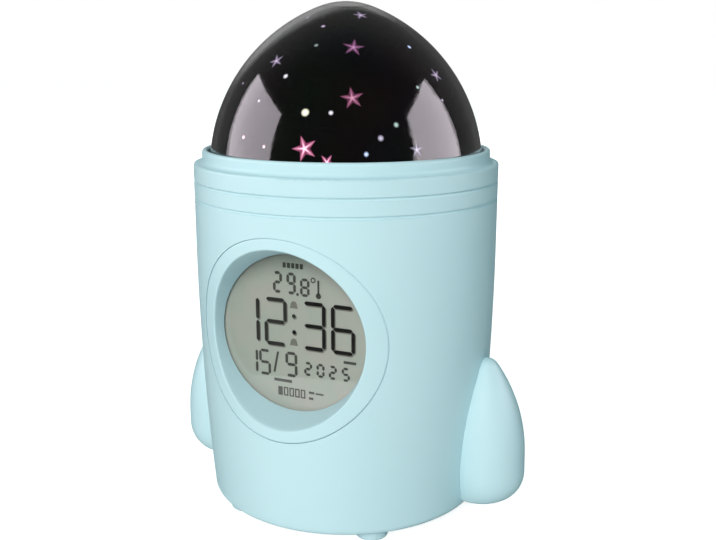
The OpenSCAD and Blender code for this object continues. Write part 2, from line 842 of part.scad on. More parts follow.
module battery_door() {
    w = bay_len - 2 * door_gap;
    d = bay_w - 2 * door_gap;
    tongue = 9;
    color(shell_blue) translate([0, bay_mid_y, plate_z]) difference() {
        union() {
            translate([-w / 2, -d / 2 + hinge_r, 0]) cube([w, d - hinge_r, door_t]);
            // round edge that the door turns on
            translate([-w / 2, -d / 2 + hinge_r, hinge_r]) rotate([0, 90, 0]) cylinder(r = hinge_r, h = w);
            for (x = [-1, 1])
                translate([x * tab_x - tab_w / 2, -d / 2 - tab_len, door_t - tab_t])
                    cube([tab_w, tab_len + door_t, tab_t]);
        }
        // slits on both sides of the latch tongue, and grip ribs as grooves
        for (x = [-1, 1]) translate([x * tongue / 2 - 0.4, d / 2 - 9, -1]) cube([0.8, 10, door_t + 2]);
        for (i = [0:3]) translate([-tongue / 2 + 1.4, d / 2 - 3 - i * 1.6, -1]) cube([tongue - 2.8, 0.7, 1.4]);
    }
}

function helix(t, r0, r1, len) =
    let (a = 360 * t, r = r0 + (r1 - r0) * t / spring_turns)
    [len * t / spring_turns, r * cos(a), r * sin(a)];
spring_turns = 4;

// Conical spring along X: a six-sided wire carried along a helix.
module spring(r0, r1, len, wire) {
    steps = 14 * spring_turns;
    sides = 6;
    rings = [for (i = [0:steps])
        let (t = i * spring_turns / steps, c = helix(t, r0, r1, len), a = 360 * t)
        for (k = [0:sides - 1])
            let (b = 360 * k / sides)
            [c[0] + wire * sin(b), c[1] + wire * cos(b) * cos(a), c[2] + wire * cos(b) * sin(a)]];
    faces = concat(
        [[for (k = [0:sides - 1]) k]],
        [for (i = [0:steps - 1], k = [0:sides - 1])
            let (n = (k + 1) % sides)
            [i * sides + k, (i + 1) * sides + k, (i + 1) * sides + n, i * sides + n]],
        [[for (k = [sides - 1:-1:0]) steps * sides + k]]);
    polyhedron(points = rings, faces = faces, convexity = 6);
}

cell_pitch = cell_d + bay_gap;
function cell_y(i) = bay_y0 + (i + 0.5) * cell_pitch;
cell_z = plate_z + door_t + 0.3 + cell_d / 2;
plate_side = cell_d - 2;
contact_t = 0.4;
spring_r = cell_d / 3;
spring_tip_r = cell_d / 5;

module contact_springs() {
    color(steel) for (i = [0:cells - 1])
        translate([-bay_len / 2 + contact_t + 0.35, cell_y(i), cell_z])
            spring(spring_r, spring_tip_r, contact_gap - 0.9, 0.3);
}

module contact_plates() {
    color(steel) for (x = [0, 1], i = [0:cells - 1])
        translate([x > 0 ? bay_len / 2 - contact_t - 0.02 : -bay_len / 2 + 0.02,
                   cell_y(i) - plate_side / 2, cell_z - plate_side / 2])
            cube([contact_t, plate_side, plate_side]);
}

module speaker() {
    z0 = plate_z + plate_t + gasket_t + 0.04;
    color(black_plastic) translate([0, speaker_y, z0]) rotate_extrude() {
        difference() {
            square([speaker_r, 1.2]);
            translate([0, -0.1]) square([speaker_r - 2, 0.7]);
        }
        translate([0, 0.5]) square([speaker_r - 4, 2.4]);
        square([4, 1]);
        translate([0, 1]) square([speaker_r - 6, speaker_h - 1]);
    }
}

module speaker_gasket() {
    color("#3A3A3C") translate([0, speaker_y, plate_z + plate_t + 0.02]) difference() {
        cylinder(r = speaker_r, h = gasket_t);
        translate([0, 0, -1]) cylinder(r = speaker_r - 2, h = gasket_t + 2);
    }
}

// ---- projector ----

module projector_deck() {
    color(black_plastic) difference() {
        union() {
            translate([0, 0, deck_z]) cylinder(r = skirt_r - fit, h = deck_t);
            // running rail under the turntable
            translate([0, 0, deck_z + deck_t - 0.01]) difference() {
                cylinder(r = table_r - 0.8, h = rail_t + 0.01);
                translate([0, 0, -1]) cylinder(r = table_r - 2, h = 3);
            }
            translate([0, 0, deck_z]) cylinder(r = tower_r, h = tower_top - deck_z);
        }
        translate([0, 0, deck_z - 1]) cylinder(r = tower_r - 2, h = tower_top - deck_z - 1);
        rotate(gear_angle) {
            translate([gear_offset, 0, deck_z - 1]) cylinder(r = 4, h = deck_t + 2);
            for (s = [-1, 1]) translate([gear_offset, s * motor_screw_offset, deck_z - 1])
                cylinder(r = pilot_r, h = deck_t + 2);
        }
        at_polar(deck_screw_n, deck_screw_r, 45)
            translate([0, 0, deck_z - 1]) {
                cylinder(r = clear_r, h = deck_t + 2);
                translate([0, 0, 1 + deck_t - head_t - 0.1]) cylinder(r = head_r + 0.2, h = head_t + 1);
            }
        for (x = [-1, 1]) translate([x * light_screw_x, 0, tower_top - small_screw])
            cylinder(r = pilot_r, h = small_screw + 1);
    }
}

module deck_screws() {
    color(steel) at_polar(deck_screw_n, deck_screw_r, 45)
        translate([0, 0, deck_z + deck_t - head_t - 0.05]) rotate([180, 0, 0]) screw(deck_screw);
}

// Point of an involute flank: base radius rb, at radius r, starting at polar angle a0.
function involute(rb, r, a0, side) =
    let (u = sqrt(max(0, r * r / (rb * rb) - 1)), a = a0 + side * (u * 180 / PI - atan(u)))
    [r * cos(a), r * sin(a)];

// Toothed outline of an external gear. half_angle is half a tooth at the pitch circle, in degrees.
module gear_2d(teeth, m, add, ded, thin) {
    rp = m * teeth / 2;
    rb = rp * cos(20);
    up = sqrt(rp * rp / (rb * rb) - 1);
    inv_p = up * 180 / PI - atan(up);
    half = 90 / teeth - thin / 2 / rp * 180 / PI;
    r_in = rp - ded;
    r_out = rp + add;
    r_start = max(rb, r_in);
    steps = 5;
    radii = [for (k = [0:steps]) r_start + (r_out - r_start) * k / steps];
    polygon([for (i = [0:teeth - 1])
        let (c = i * 360 / teeth, a = c - half - inv_p, b = c + half + inv_p)
        each concat(
            [[r_in * cos(a), r_in * sin(a)]],
            [for (k = [0:steps]) involute(rb, radii[k], a, 1)],
            [for (k = [steps:-1:0]) involute(rb, radii[k], b, -1)],
            [[r_in * cos(b), r_in * sin(b)]])]);
}

module turntable() {
    color(white_plastic) translate([0, 0, table_z]) difference() {
        cylinder(r = table_r, h = table_t);
        // the tooth spaces of the ring are the outline of a gear with longer teeth, one of them at the pinion
        translate([0, 0, -1]) linear_extrude(table_t + 2)
            rotate(gear_angle)
                gear_2d(ring_teeth, tooth_m, 1.25 * tooth_m, 0.9 * tooth_m, -backlash);
        at_polar(dome_screw_n, dome_screw_r, 90) {
            translate([0, 0, -1]) cylinder(r = clear_r, h = table_t + 2);
            translate([0, 0, -1]) cylinder(r = head_r + 0.2, h = head_t + 1.15);
        }
    }
}

module dome_cover() {
    in_r = dome_r - cover_wall;
    foot_z = table_z + table_t;
    color(clear_plastic) difference() {
        union() {
            rotate_extrude(convexity = 4) {
                difference() {
                    translate([0, belly_z]) ogive_2d(dome_r, nose_r, dome_len);
                    translate([0, belly_z]) ogive_2d(in_r, nose_r - cover_wall, dome_len - cover_wall);
                }
                translate([in_r, foot_z]) square([cover_wall, belly_z - foot_z]);
                translate([in_r, foot_z]) square([table_r - in_r, flange_t]);
            }
            at_polar(dome_screw_n, dome_screw_r, 90) translate([0, 0, foot_z]) {
                cylinder(r = dome_boss_r, h = small_screw + tip_gap);
                translate([0, -1, 0]) cube([dome_boss_r + 0.8, 2, small_screw]);
            }
        }
        at_polar(dome_screw_n, dome_screw_r, 90) translate([0, 0, foot_z - 1])
            cylinder(r = pilot_r, h = small_screw + 1);
    }
}

module dome_screws() {
    color(steel) at_polar(dome_screw_n, dome_screw_r, 90)
        translate([0, 0, table_z + head_t + 0.13]) screw(small_screw);
}

// Stars as [turn from the front towards +X, height angle seen from the lamps, share of star_d, spin].
front_stars = [
    [28, 30, 1, 8], [30, 53, 1, -10], [9, 10, 1.1, 20], [44, 73, 0.8, 5], [-17, 46, 0.8, 30],
    [78, 39, 0.8, 14], [54, 9, 0.7, 0], [-28, 72, 0.7, 12], [18, 5, 0.7, 40]
];
// Round openings as [turn, height angle, diameter].
front_dots = [
    [5, 65, 1.6], [6, 54, 1.6], [70, 53, 1.6], [-6, 39, 1.8], [8, 24, 2.6], [19, 24, 1.6], [46, 19, 1.8],
    [39, 14, 2], [33, 8, 1.6], [-17, 28, 1.2], [-21, 13, 1.4], [-9, 10, 1.2], [61, 34, 1.4],
    [-36, 35, 1.2], [74, 28, 1.2]
];
// The far side is filled by a rule: steps round the dome with rising and falling heights.
back_star_n = 8;
back_stars = [for (i = [0:back_star_n - 1]) [112 + i * 24, 12 + (i * 29) % 60, 0.7 + 0.1 * (i % 4), i * 17]];
back_dot_n = 18;
back_dots = [for (i = [0:back_dot_n - 1]) [100 + i * 12, 8 + (i * 37 + 11) % 62, 1.2 + 0.3 * (i % 4)]];

module star_2d(d) {
    tips = 5;
    polygon([for (i = [0:2 * tips - 1])
        let (r = i % 2 == 0 ? d / 2 : d * 0.21, a = 90 + i * 180 / tips)
        [r * cos(a), r * sin(a)]]);
}

// Turns +Z to the direction that a height angle and a turn from the front give.
module aim(turn, height) {
    translate([0, 0, lamp_z]) rotate([0, 0, turn - 90]) rotate([0, 90 - height, 0]) children();
}

module star_mask() {
    out = cover_wall + mask_gap;
    in = out + mask_wall;
    reach = 20;
    color(black_plastic) difference() {
        intersection() {
            rotate_extrude(convexity = 4) difference() {
                translate([0, belly_z]) ogive_2d(dome_r - out, nose_r - out, dome_len - out);
                translate([0, belly_z]) ogive_2d(dome_r - in, nose_r - in, dome_len - in);
            }
            translate([0, 0, mask_z]) cylinder(r = body_r, h = body_d);
        }
        for (s = concat(front_stars, back_stars))
            aim(s[0], s[1]) translate([0, 0, reach]) rotate(90 + s[3])
                linear_extrude(dome_len) star_2d(star_d * s[2]);
        for (s = concat(front_dots, back_dots))
            aim(s[0], s[1]) translate([0, 0, reach]) cylinder(d = s[2], h = dome_len);
    }
}

module drive_pinion() {
    color(white_plastic) rotate(gear_angle) translate([gear_offset, 0, table_z + 0.1]) difference() {
        union() {
            linear_extrude(pinion_t) gear_2d(pinion_teeth, tooth_m, 0.9 * tooth_m, 1.2 * tooth_m, backlash);
            translate([0, 0, pinion_t - 0.01]) cylinder(r = 2 * shaft_r, h = hub_t);
        }
        translate([0, 0, -1]) cylinder(r = shaft_r + 0.02, h = pinion_t + hub_t + 2);
    }
}

module motor_shaft() {
    z0 = deck_z - shaft_in;
    z1 = table_z + pinion_t + hub_t;
    color(steel) rotate(gear_angle) translate([gear_offset, 0, z0]) cylinder(r = shaft_r, h = z1 - z0);
}

module gear_motor() {
    top = deck_z - 0.05;
    color(steel) rotate(gear_angle) translate([gear_offset, 0, 0]) difference() {
        union() {
            translate([0, 0, top - motor_h]) cylinder(r = motor_r, h = motor_h);
            translate([0, 0, top - motor_h - gearbox_h]) cylinder(r = motor_r * 0.6, h = gearbox_h + 1);
            for (s = [-1, 1]) {
                translate([0, s * motor_screw_offset, top - lug_t]) cylinder(r = lug_r, h = lug_t);
                translate([-lug_r, s > 0 ? 0 : -motor_screw_offset, top - lug_t])
                    cube([2 * lug_r, motor_screw_offset, lug_t]);
            }
        }
        translate([0, 0, top - shaft_in - 1]) cylinder(r = shaft_r + 0.1, h = shaft_in + 3);
        for (s = [-1, 1]) translate([0, s * motor_screw_offset, top - 3]) cylinder(r = clear_r, h = 5);
    }
}

module motor_screws() {
    color(steel) rotate(gear_angle) for (s = [-1, 1])
        translate([gear_offset, s * motor_screw_offset, deck_z - 0.05 - lug_t - 0.02]) screw(deck_t + 1);
}

module light_board() {
    color(white_plastic) difference() {
        translate([0, 0, light_z + 0.02]) cylinder(r = tower_r - 1, h = light_t);
        for (x = [-1, 1]) translate([x * light_screw_x, 0, light_z - 1])
            cylinder(r = clear_r, h = light_t + 2);
    }
}

module light_screws() {
    color(steel) for (x = [-1, 1])
        translate([x * light_screw_x, 0, light_z + light_t + 0.04]) rotate([180, 0, 0]) screw(small_screw);
}

// Round LED: flange, body and domed lens.
module led(turn, tint) {
    color(tint) rotate(turn) translate([0, led_spread, light_z + light_t + 0.04]) rotate_extrude() {
        square([led_r + 0.3, 0.8]);
        square([led_r, led_h - led_r]);
        intersection() {
            translate([0, led_h - led_r]) circle(r = led_r, $fn = 48);
            square([led_r + 1, led_h]);
        }
    }
}

module led_red() { led(0, "#E04848"); }
module led_green() { led(90, "#3FC07A"); }
module led_blue() { led(180, "#4A68E8"); }
module led_white() { led(270, "#F2F0E4"); }

body_shell();
top_ring();
fin_left();
fin_right();
fin_screws();
display_bezel();
display_window();
lcd_panel();
lcd_frame();
backlight_plate();
lcd_connectors();
main_board();
controller_chip();
display_screws();
board_screws();
rear_panel();
alarm_button();
mode_button();
up_button();
down_button();
light_button();
sound_button();
switch_slider();
slide_switch();
control_board();
tact_switches();
usb_socket();
temperature_sensor();
panel_screws();
control_screws();
base_cover();
base_screws();
battery_door();
contact_springs();
contact_plates();
speaker();
speaker_gasket();
projector_deck();
deck_screws();
turntable();
dome_cover();
star_mask();
dome_screws();
drive_pinion();
motor_shaft();
gear_motor();
motor_screws();
light_board();
led_red();
led_green();
led_blue();
led_white();
light_screws();
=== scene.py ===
"""Looks of a rocket-shaped alarm clock with a turning star dome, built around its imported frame.

Lengths are millimetres until a mesh is written, and metres in the scene and the frame. +Z is up, the
display faces -Y, the fins stand on -X and +X, and the feet rest on z = 0.
"""

from __future__ import annotations

import json
import logging
import math
from dataclasses import dataclass, field
from enum import Enum

import bpy
import numpy as np
from bpy.types import ID, Material, Node, NodeSocket, NodeTree, Object
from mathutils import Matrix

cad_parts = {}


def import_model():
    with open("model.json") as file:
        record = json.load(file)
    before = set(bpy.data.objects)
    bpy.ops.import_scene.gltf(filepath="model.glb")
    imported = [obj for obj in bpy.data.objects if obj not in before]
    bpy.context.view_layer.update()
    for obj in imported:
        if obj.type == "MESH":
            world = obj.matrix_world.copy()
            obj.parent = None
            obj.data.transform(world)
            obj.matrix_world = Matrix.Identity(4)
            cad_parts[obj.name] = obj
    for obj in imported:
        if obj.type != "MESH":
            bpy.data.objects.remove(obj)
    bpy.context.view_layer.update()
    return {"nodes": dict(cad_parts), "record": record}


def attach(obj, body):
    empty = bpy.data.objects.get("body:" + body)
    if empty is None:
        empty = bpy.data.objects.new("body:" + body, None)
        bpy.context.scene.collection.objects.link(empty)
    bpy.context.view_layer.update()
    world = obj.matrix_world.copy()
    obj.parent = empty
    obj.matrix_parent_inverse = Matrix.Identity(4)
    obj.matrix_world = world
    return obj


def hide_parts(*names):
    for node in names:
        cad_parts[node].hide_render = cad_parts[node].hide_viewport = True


Array = np.ndarray
Pair = tuple[float, float]
LOG = logging.getLogger("clock")
MM = 0.001
WHITE = "#FFFFFF"


class Body(Enum):
    """Bodies of the frame that new pieces ride on."""

    HOUSING = "housing"
    DOME = "dome"


# ---- nodes and finishes


def linear(hex_colour: str) -> tuple[float, float, float, float]:
    """Turns an sRGB hex value into a linear colour.

    Args:
        hex_colour: such as "#B3E1E7".

    Returns:
        Red, green, blue and an alpha of 1.
    """
    parts = [int(hex_colour[i : i + 2], 16) / 255 for i in (1, 3, 5)]
    rgb = [c / 12.92 if c <= 0.04045 else ((c + 0.055) / 1.055) ** 2.4 for c in parts]
    return (*rgb, 1.0)


def add_node(tree: NodeTree, kind: str, inputs: dict | None = None, **settings: str | int) -> Node:
    """Adds a node with its settings and links.

    Args:
        tree: the material's or the world's tree.
        kind: the node's type name.
        inputs: for each input, by name or number, a value, a hex colour or another node's socket.
        settings: attributes of the node.

    Returns:
        The new node.
    """
    node = tree.nodes.new(kind)
    for key, value in settings.items():
        setattr(node, key, value)
    for key, value in (inputs or {}).items():
        if isinstance(value, NodeSocket):
            tree.links.new(value, node.inputs[key])
        else:
            node.inputs[key].default_value = linear(value) if isinstance(value, str) else value
    return node


def per_metre(size_mm: float) -> float:
    """Scale of a pattern whose features measure size_mm, because scales count features per metre."""
    return 1 / (size_mm * MM)


@dataclass(frozen=True)
class Finish:
    """A material that is built once and shared by the pieces that have it."""

    name: str

    def inputs(self, tree: NodeTree) -> dict:
        """Builds what feeds the general surface shader.

        Args:
            tree: the material's node tree.

        Returns:
            The shader's inputs by name.
        """
        raise NotImplementedError

    def shader(self, tree: NodeTree) -> NodeSocket:
        """Builds the general surface shader and returns its socket."""
        return add_node(tree, "ShaderNodeBsdfPrincipled", self.inputs(tree)).outputs["BSDF"]

    def material(self) -> Material:
        """Makes the material at its first use, and finds it again later.

        Returns:
            The material of this finish's name.
        """
        made = bpy.data.materials.get(self.name)
        if made is None:
            made = bpy.data.materials.new(self.name)
            made.use_nodes = True
            tree = made.node_tree
            tree.nodes.clear()
            add_node(tree, "ShaderNodeOutputMaterial", {"Surface": self.shader(tree)})
        return made


@dataclass(frozen=True)
class MouldedPlastic(Finish):
    """Injection-moulded plastic with a spark-eroded grain.

    The eye gets a soft, broad highlight, broken up very slightly by the grain, and edges that are never
    quite sharp. The true grain of about 0.1 mm is too fine to show, so it is drawn a little coarser.
    """

    colour: str
    shade: str
    rough: float = 0.4
    rough_play: float = 0.05
    ior: float = 1.54
    cloud_mm: float = 38.0
    grain_mm: float = 0.7
    grain_depth_mm: float = 0.006
    edge_mm: float = 0.25

    def inputs(self, tree: NodeTree) -> dict:
        """Builds broad clouds in the colour, fine grain in the bump and a rounded edge.

        Args:
            tree: the material's node tree.

        Returns:
            The shader's inputs by name.
        """
        place = add_node(tree, "ShaderNodeTexCoord").outputs["Object"]
        broad = {"Vector": place, "Scale": per_metre(self.cloud_mm), "Detail": 2.0}
        clouds = add_node(tree, "ShaderNodeTexNoise", broad).outputs["Fac"]
        fine = {"Vector": place, "Scale": per_metre(self.grain_mm), "Detail": 3.0}
        grain = add_node(tree, "ShaderNodeTexNoise", fine).outputs["Fac"]
        tints = {"Factor": clouds, 6: self.colour, 7: self.shade}
        low, high = self.rough - self.rough_play, self.rough + self.rough_play
        play = {"Value": grain, "To Min": low, "To Max": high}
        edge = add_node(tree, "ShaderNodeBevel", {"Radius": self.edge_mm * MM}, samples=4).outputs["Normal"]
        bump = {"Height": grain, "Distance": self.grain_depth_mm * MM, "Strength": 1.0, "Normal": edge}
        return {
            "Base Color": add_node(tree, "ShaderNodeMix", tints, data_type="RGBA").outputs[2],
            "Roughness": add_node(tree, "ShaderNodeMapRange", play).outputs["Result"],
            "IOR": self.ior,
            "Normal": add_node(tree, "ShaderNodeBump", bump).outputs["Normal"],
        }


@dataclass(frozen=True)
class ClearPlastic(Finish):
    """Polished clear plastic, such as acrylic or polycarbonate.

    The eye gets sharp, bright reflections and a clear view. Rays to the lamps pass straight through so
    thin a wall, so what is behind it stays lit.
    """

    ior: float = 1.49
    smooth: float = 0.008
    rough: float = 0.032
    smear_mm: float = 22.0

    def inputs(self, tree: NodeTree) -> dict:
        """Builds glass whose roughness wanders a little, as polished plastic's does.

        Args:
            tree: the material's node tree.

        Returns:
            The shader's inputs by name.
        """
        place = add_node(tree, "ShaderNodeTexCoord").outputs["Object"]
        broad = {"Vector": place, "Scale": per_metre(self.smear_mm), "Detail": 4.0}
        smear = add_node(tree, "ShaderNodeTexNoise", broad).outputs["Fac"]
        play = {"Value": smear, "To Min": self.smooth, "To Max": self.rough}
        rough = add_node(tree, "ShaderNodeMapRange", play).outputs["Result"]
        return {"Base Color": WHITE, "Roughness": rough, "IOR": self.ior, "Transmission Weight": 1.0}

    def shader(self, tree: NodeTree) -> NodeSocket:
        """Mixes the glass with plain see-through, which rays to the lamps take.

        Args:
            tree: the material's node tree.

        Returns:
            The mixed shader's socket.
        """
        through = add_node(tree, "ShaderNodeBsdfTransparent", {"Color": WHITE}).outputs["BSDF"]
        shadow = add_node(tree, "ShaderNodeLightPath").outputs["Is Shadow Ray"]
        sides = {0: shadow, 1: super().shader(tree), 2: through}
        return add_node(tree, "ShaderNodeMixShader", sides).outputs["Shader"]


@dataclass(frozen=True)
class LampBlack(Finish):
    """Black polycarbonate film with a high gloss.

    The eye gets a deep black in which the coloured lamps behind it glow through very faintly.
    """

    colour: str = "#040405"
    rough: float = 0.1
    ior: float = 1.58
    cloud_mm: float = 26.0
    glow: float = 0.002
    glow_start: float = 0.45
    glow_full: float = 0.75

    def inputs(self, tree: NodeTree) -> dict:
        """Builds black gloss with a faint wandering glow of red, green and blue.

        Args:
            tree: the material's node tree.

        Returns:
            The shader's inputs by name.
        """
        place = add_node(tree, "ShaderNodeTexCoord").outputs["Object"]
        broad = {"Vector": place, "Scale": per_metre(self.cloud_mm), "Detail": 1.0}
        clouds = add_node(tree, "ShaderNodeTexNoise", broad).outputs["Color"]
        ends = {7 + i: (end,) * 3 for i, end in enumerate((self.glow_start, self.glow_full, 0.0, 1.0))}
        glow = add_node(tree, "ShaderNodeMapRange", {"Vector": clouds, **ends}, data_type="FLOAT_VECTOR")
        return {
            "Base Color": self.colour,
            "Roughness": self.rough,
            "IOR": self.ior,
            "Emission Color": glow.outputs["Vector"],
            "Emission Strength": self.glow,
        }


@dataclass(frozen=True)
class StarLight(Finish):
    """A lit opening: a milky diffuser behind the mask with one lamp's colour.

    The eye gets a bright heart that turns to the lamp's own colour towards the tips.
    """

    heart: str
    tip: str
    strength: float
    tip_share: float = 0.12
    unlit: str = "#202022"
    rough: float = 0.5

    def inputs(self, tree: NodeTree) -> dict:
        """Mixes the two colours by the piece's own attribute, which falls from its heart to its tips.

        Args:
            tree: the material's node tree.

        Returns:
            The shader's inputs by name.
        """
        near = add_node(tree, "ShaderNodeAttribute", attribute_name="heart").outputs["Fac"]
        tints = {"Factor": near, 6: self.tip, 7: self.heart}
        power = {"Value": near, "To Min": self.strength * self.tip_share, "To Max": self.strength}
        return {
            "Base Color": self.unlit,
            "Roughness": self.rough,
            "Emission Color": add_node(tree, "ShaderNodeMix", tints, data_type="RGBA").outputs[2],
            "Emission Strength": add_node(tree, "ShaderNodeMapRange", power).outputs["Result"],
        }


@dataclass(frozen=True)
class PlatedMetal(Finish):
    """Nickel-plated steel: a warm, slightly brushed shine with fine scratches."""

    colour: str = "#D8D5CE"
    smooth: float = 0.3
    rough: float = 0.52
    metal: float = 0.75
    scratch_mm: float = 0.4

    def inputs(self, tree: NodeTree) -> dict:
        """Builds metal whose roughness varies with fine scratches.

        Args:
            tree: the material's node tree.

        Returns:
            The shader's inputs by name.
        """
        place = add_node(tree, "ShaderNodeTexCoord").outputs["Object"]
        fine = {"Vector": place, "Scale": per_metre(self.scratch_mm), "Detail": 5.0}
        scratch = add_node(tree, "ShaderNodeTexNoise", fine).outputs["Fac"]
        play = {"Value": scratch, "To Min": self.smooth, "To Max": self.rough}
        rough = add_node(tree, "ShaderNodeMapRange", play).outputs["Result"]
        return {"Base Color": self.colour, "Metallic": self.metal, "Roughness": rough}


@dataclass(frozen=True)
class SolderMask(Finish):
    """Glass-fibre board under a glossy solder mask, with the copper tracks as paler bands."""

    board: str = "#1F5A3C"
    track: str = "#2F7A50"
    rough: float = 0.25
    cell_mm: float = 3.2
    track_half: float = 0.32

    def inputs(self, tree: NodeTree) -> dict:
        """Builds angular cells: the middle of each is track, and the rest is board.

        Args:
            tree: the material's node tree.

        Returns:
            The shader's inputs by name.
        """
        place = add_node(tree, "ShaderNodeTexCoord").outputs["Object"]
        grid = {"Vector": place, "Scale": per_metre(self.cell_mm)}
        cells = add_node(tree, "ShaderNodeTexVoronoi", grid, distance="CHEBYCHEV").outputs["Distance"]
        band = add_node(tree, "ShaderNodeMath", {0: cells, 1: self.track_half}, operation="GREATER_THAN")
        tints = {"Factor": band.outputs["Value"], 6: self.track, 7: self.board}
        tint = add_node(tree, "ShaderNodeMix", tints, data_type="RGBA").outputs[2]
        return {"Base Color": tint, "Roughness": self.rough}


@dataclass(frozen=True)
class Epoxy(Finish):
    """Tinted epoxy of an LED's lens, lit from inside."""

    colour: str
    dim: float = 0.84
    bright: float = 1.56
    rough: float = 0.15
    cloud_mm: float = 2.0

    def inputs(self, tree: NodeTree) -> dict:
        """Builds a glossy tinted body that gives light, a little uneven as cast epoxy is.

        Args:
            tree: the material's node tree.

        Returns:
            The shader's inputs by name.
        """
        place = add_node(tree, "ShaderNodeTexCoord").outputs["Object"]
        fine = {"Vector": place, "Scale": per_metre(self.cloud_mm), "Detail": 2.0}
        cloud = add_node(tree, "ShaderNodeTexNoise", fine).outputs["Fac"]
        power = {"Value": cloud, "To Min": self.dim, "To Max": self.bright}
        return {
            "Base Color": self.colour,
            "Roughness": self.rough,
            "Emission Color": self.colour,
            "Emission Strength": add_node(tree, "ShaderNodeMapRange", power).outputs["Result"],
        }


@dataclass(frozen=True)
class CrystalGlass(Finish):
    """Reflective liquid crystal glass: a matt grey-green ground with the polariser's faint iridescence."""

    ground: str = "#B9C8BE"
    warm: str = "#C2C3BC"
    cool: str = "#AFC6B9"
    rough: float = 0.45
    cast_mm: float = 11.0
    cast_start: float = 0.3
    cast_end: float = 0.7
    speckle_mm: float = 0.9

    def inputs(self, tree: NodeTree) -> dict:
        """Mixes a warm and a cool cast into the ground over about a centimetre.

        Args:
            tree: the material's node tree.

        Returns:
            The shader's inputs by name.
        """
        place = add_node(tree, "ShaderNodeTexCoord").outputs["Object"]
        broad = {"Vector": place, "Scale": per_metre(self.cast_mm), "Detail": 2.0}
        cast = add_node(tree, "ShaderNodeTexNoise", broad).outputs["Fac"]
        fine = {"Vector": place, "Scale": per_metre(self.speckle_mm), "Detail": 2.0}
        speckle = add_node(tree, "ShaderNodeTexNoise", fine).outputs["Fac"]
        span = {"Value": cast, "From Min": self.cast_start, "From Max": self.cast_end}
        side = add_node(tree, "ShaderNodeMapRange", span).outputs["Result"]
        sides = {"Factor": side, 6: self.warm, 7: self.cool}
        tint = add_node(tree, "ShaderNodeMix", sides, data_type="RGBA").outputs[2]
        tints = {"Factor": speckle, 6: tint, 7: self.ground}
        colour = add_node(tree, "ShaderNodeMix", tints, data_type="RGBA").outputs[2]
        return {"Base Color": colour, "Roughness": self.rough}


@dataclass(frozen=True)
class StagePaper(Finish):
    """Matt white paper of the floor, which gives the camera some light of its own."""

    lift: float
    white: str = "#E6E6E6"
    rough: float = 0.9

    def inputs(self, tree: NodeTree) -> dict:
        """Builds the paper, whose own light is there for camera rays alone.

        Args:
            tree: the material's node tree.

        Returns:
            The shader's inputs by name.
        """
        ray = add_node(tree, "ShaderNodeLightPath").outputs["Is Camera Ray"]
        lift = add_node(tree, "ShaderNodeMath", {0: ray, 1: self.lift}, operation="MULTIPLY")
        return {
            "Base Color": self.white,
            "Roughness": self.rough,
            "Emission Color": WHITE,
            "Emission Strength": lift.outputs["Value"],
        }


@dataclass(frozen=True)
class StageGlow(Finish):
    """Even light of a reflector board."""

    tint: str
    radiance: float

    def shader(self, tree: NodeTree) -> NodeSocket:
        """Builds plain light and nothing else."""
        light = {"Color": self.tint, "Strength": self.radiance}
        return add_node(tree, "ShaderNodeEmission", light).outputs["Emission"]


TURQUOISE = MouldedPlastic("turquoise_abs", "#C3E3EA", "#BDE0E7")
SLOT_FINISHES: dict[str, Finish] = {
    "housing_abs": TURQUOISE,
    "key_abs": MouldedPlastic("white_abs", "#EFEFEC", "#E8E8E4", rough=0.35),
    "gear_pom": MouldedPlastic("natural_acetal", "#EEEDE6", "#E6E5DC", rough=0.3, ior=1.48),
    "plated_steel": PlatedMetal("nickel_plate"),
    "circuit_board": SolderMask("green_solder_mask"),
    "white_board": SolderMask("white_solder_mask", board="#E9E9E4", track="#F3F3F0"),
    "light_guide": MouldedPlastic("milky_acrylic", "#F2F2EC", "#EAEAE2", rough=0.2, ior=1.49),
    "black_plastic": MouldedPlastic("black_abs", "#161618", "#1C1C1F", rough=0.5),
    "foam": MouldedPlastic("closed_cell_foam", "#37373A", "#2C2C2E", rough=0.9, grain_depth_mm=0.2),
    "zebra_rubber": MouldedPlastic("pink_silicone", "#D5A5B2", "#C996A4", rough=0.6, ior=1.41),
    "clear_window": ClearPlastic("clear_acrylic"),
    "clear_dome": ClearPlastic("clear_polycarbonate", ior=1.58, smooth=0.012, rough=0.048),
    "mask_black": LampBlack("black_mask_film"),
    "lcd_glass": CrystalGlass("liquid_crystal_glass"),
    "led_red": Epoxy("red_epoxy", "#E8405A"),
    "led_green": Epoxy("green_epoxy", "#48C880"),
    "led_blue": Epoxy("blue_epoxy", "#5068F0"),
    "led_white": Epoxy("clear_epoxy", "#F4F1E4"),
}


def segment_ink(name: str, colour: str) -> MouldedPlastic:
    """Ink of a switched crystal cell, or the grey of a painted shadow: flat and matt, because it lies behind
    the glass.
    """
    return MouldedPlastic(name, colour, colour, rough=0.6, grain_depth_mm=0.0, edge_mm=0.01)


SEGMENT_BLACK = segment_ink("crystal_segment_black", "#0C0E0D")
SEGMENT_DARK = segment_ink("crystal_segment_dark", "#2C302D")
SEGMENT_GREY = segment_ink("crystal_segment_thin", "#4B524C")
# painted shadow: this grey stands for the shadows that the dark segments cast on the reflector behind the
# crystal, and the two faint bells are drawn in it too
SEGMENT_FAINT_AND_PAINTED_SHADOW = segment_ink("crystal_faint_segment_and_painted_shadow", "#82897F")
PRINT_GREY = MouldedPlastic("grey_pad_print", "#5C7C84", "#54747C", rough=0.5, edge_mm=0.01)


# ---- meshes


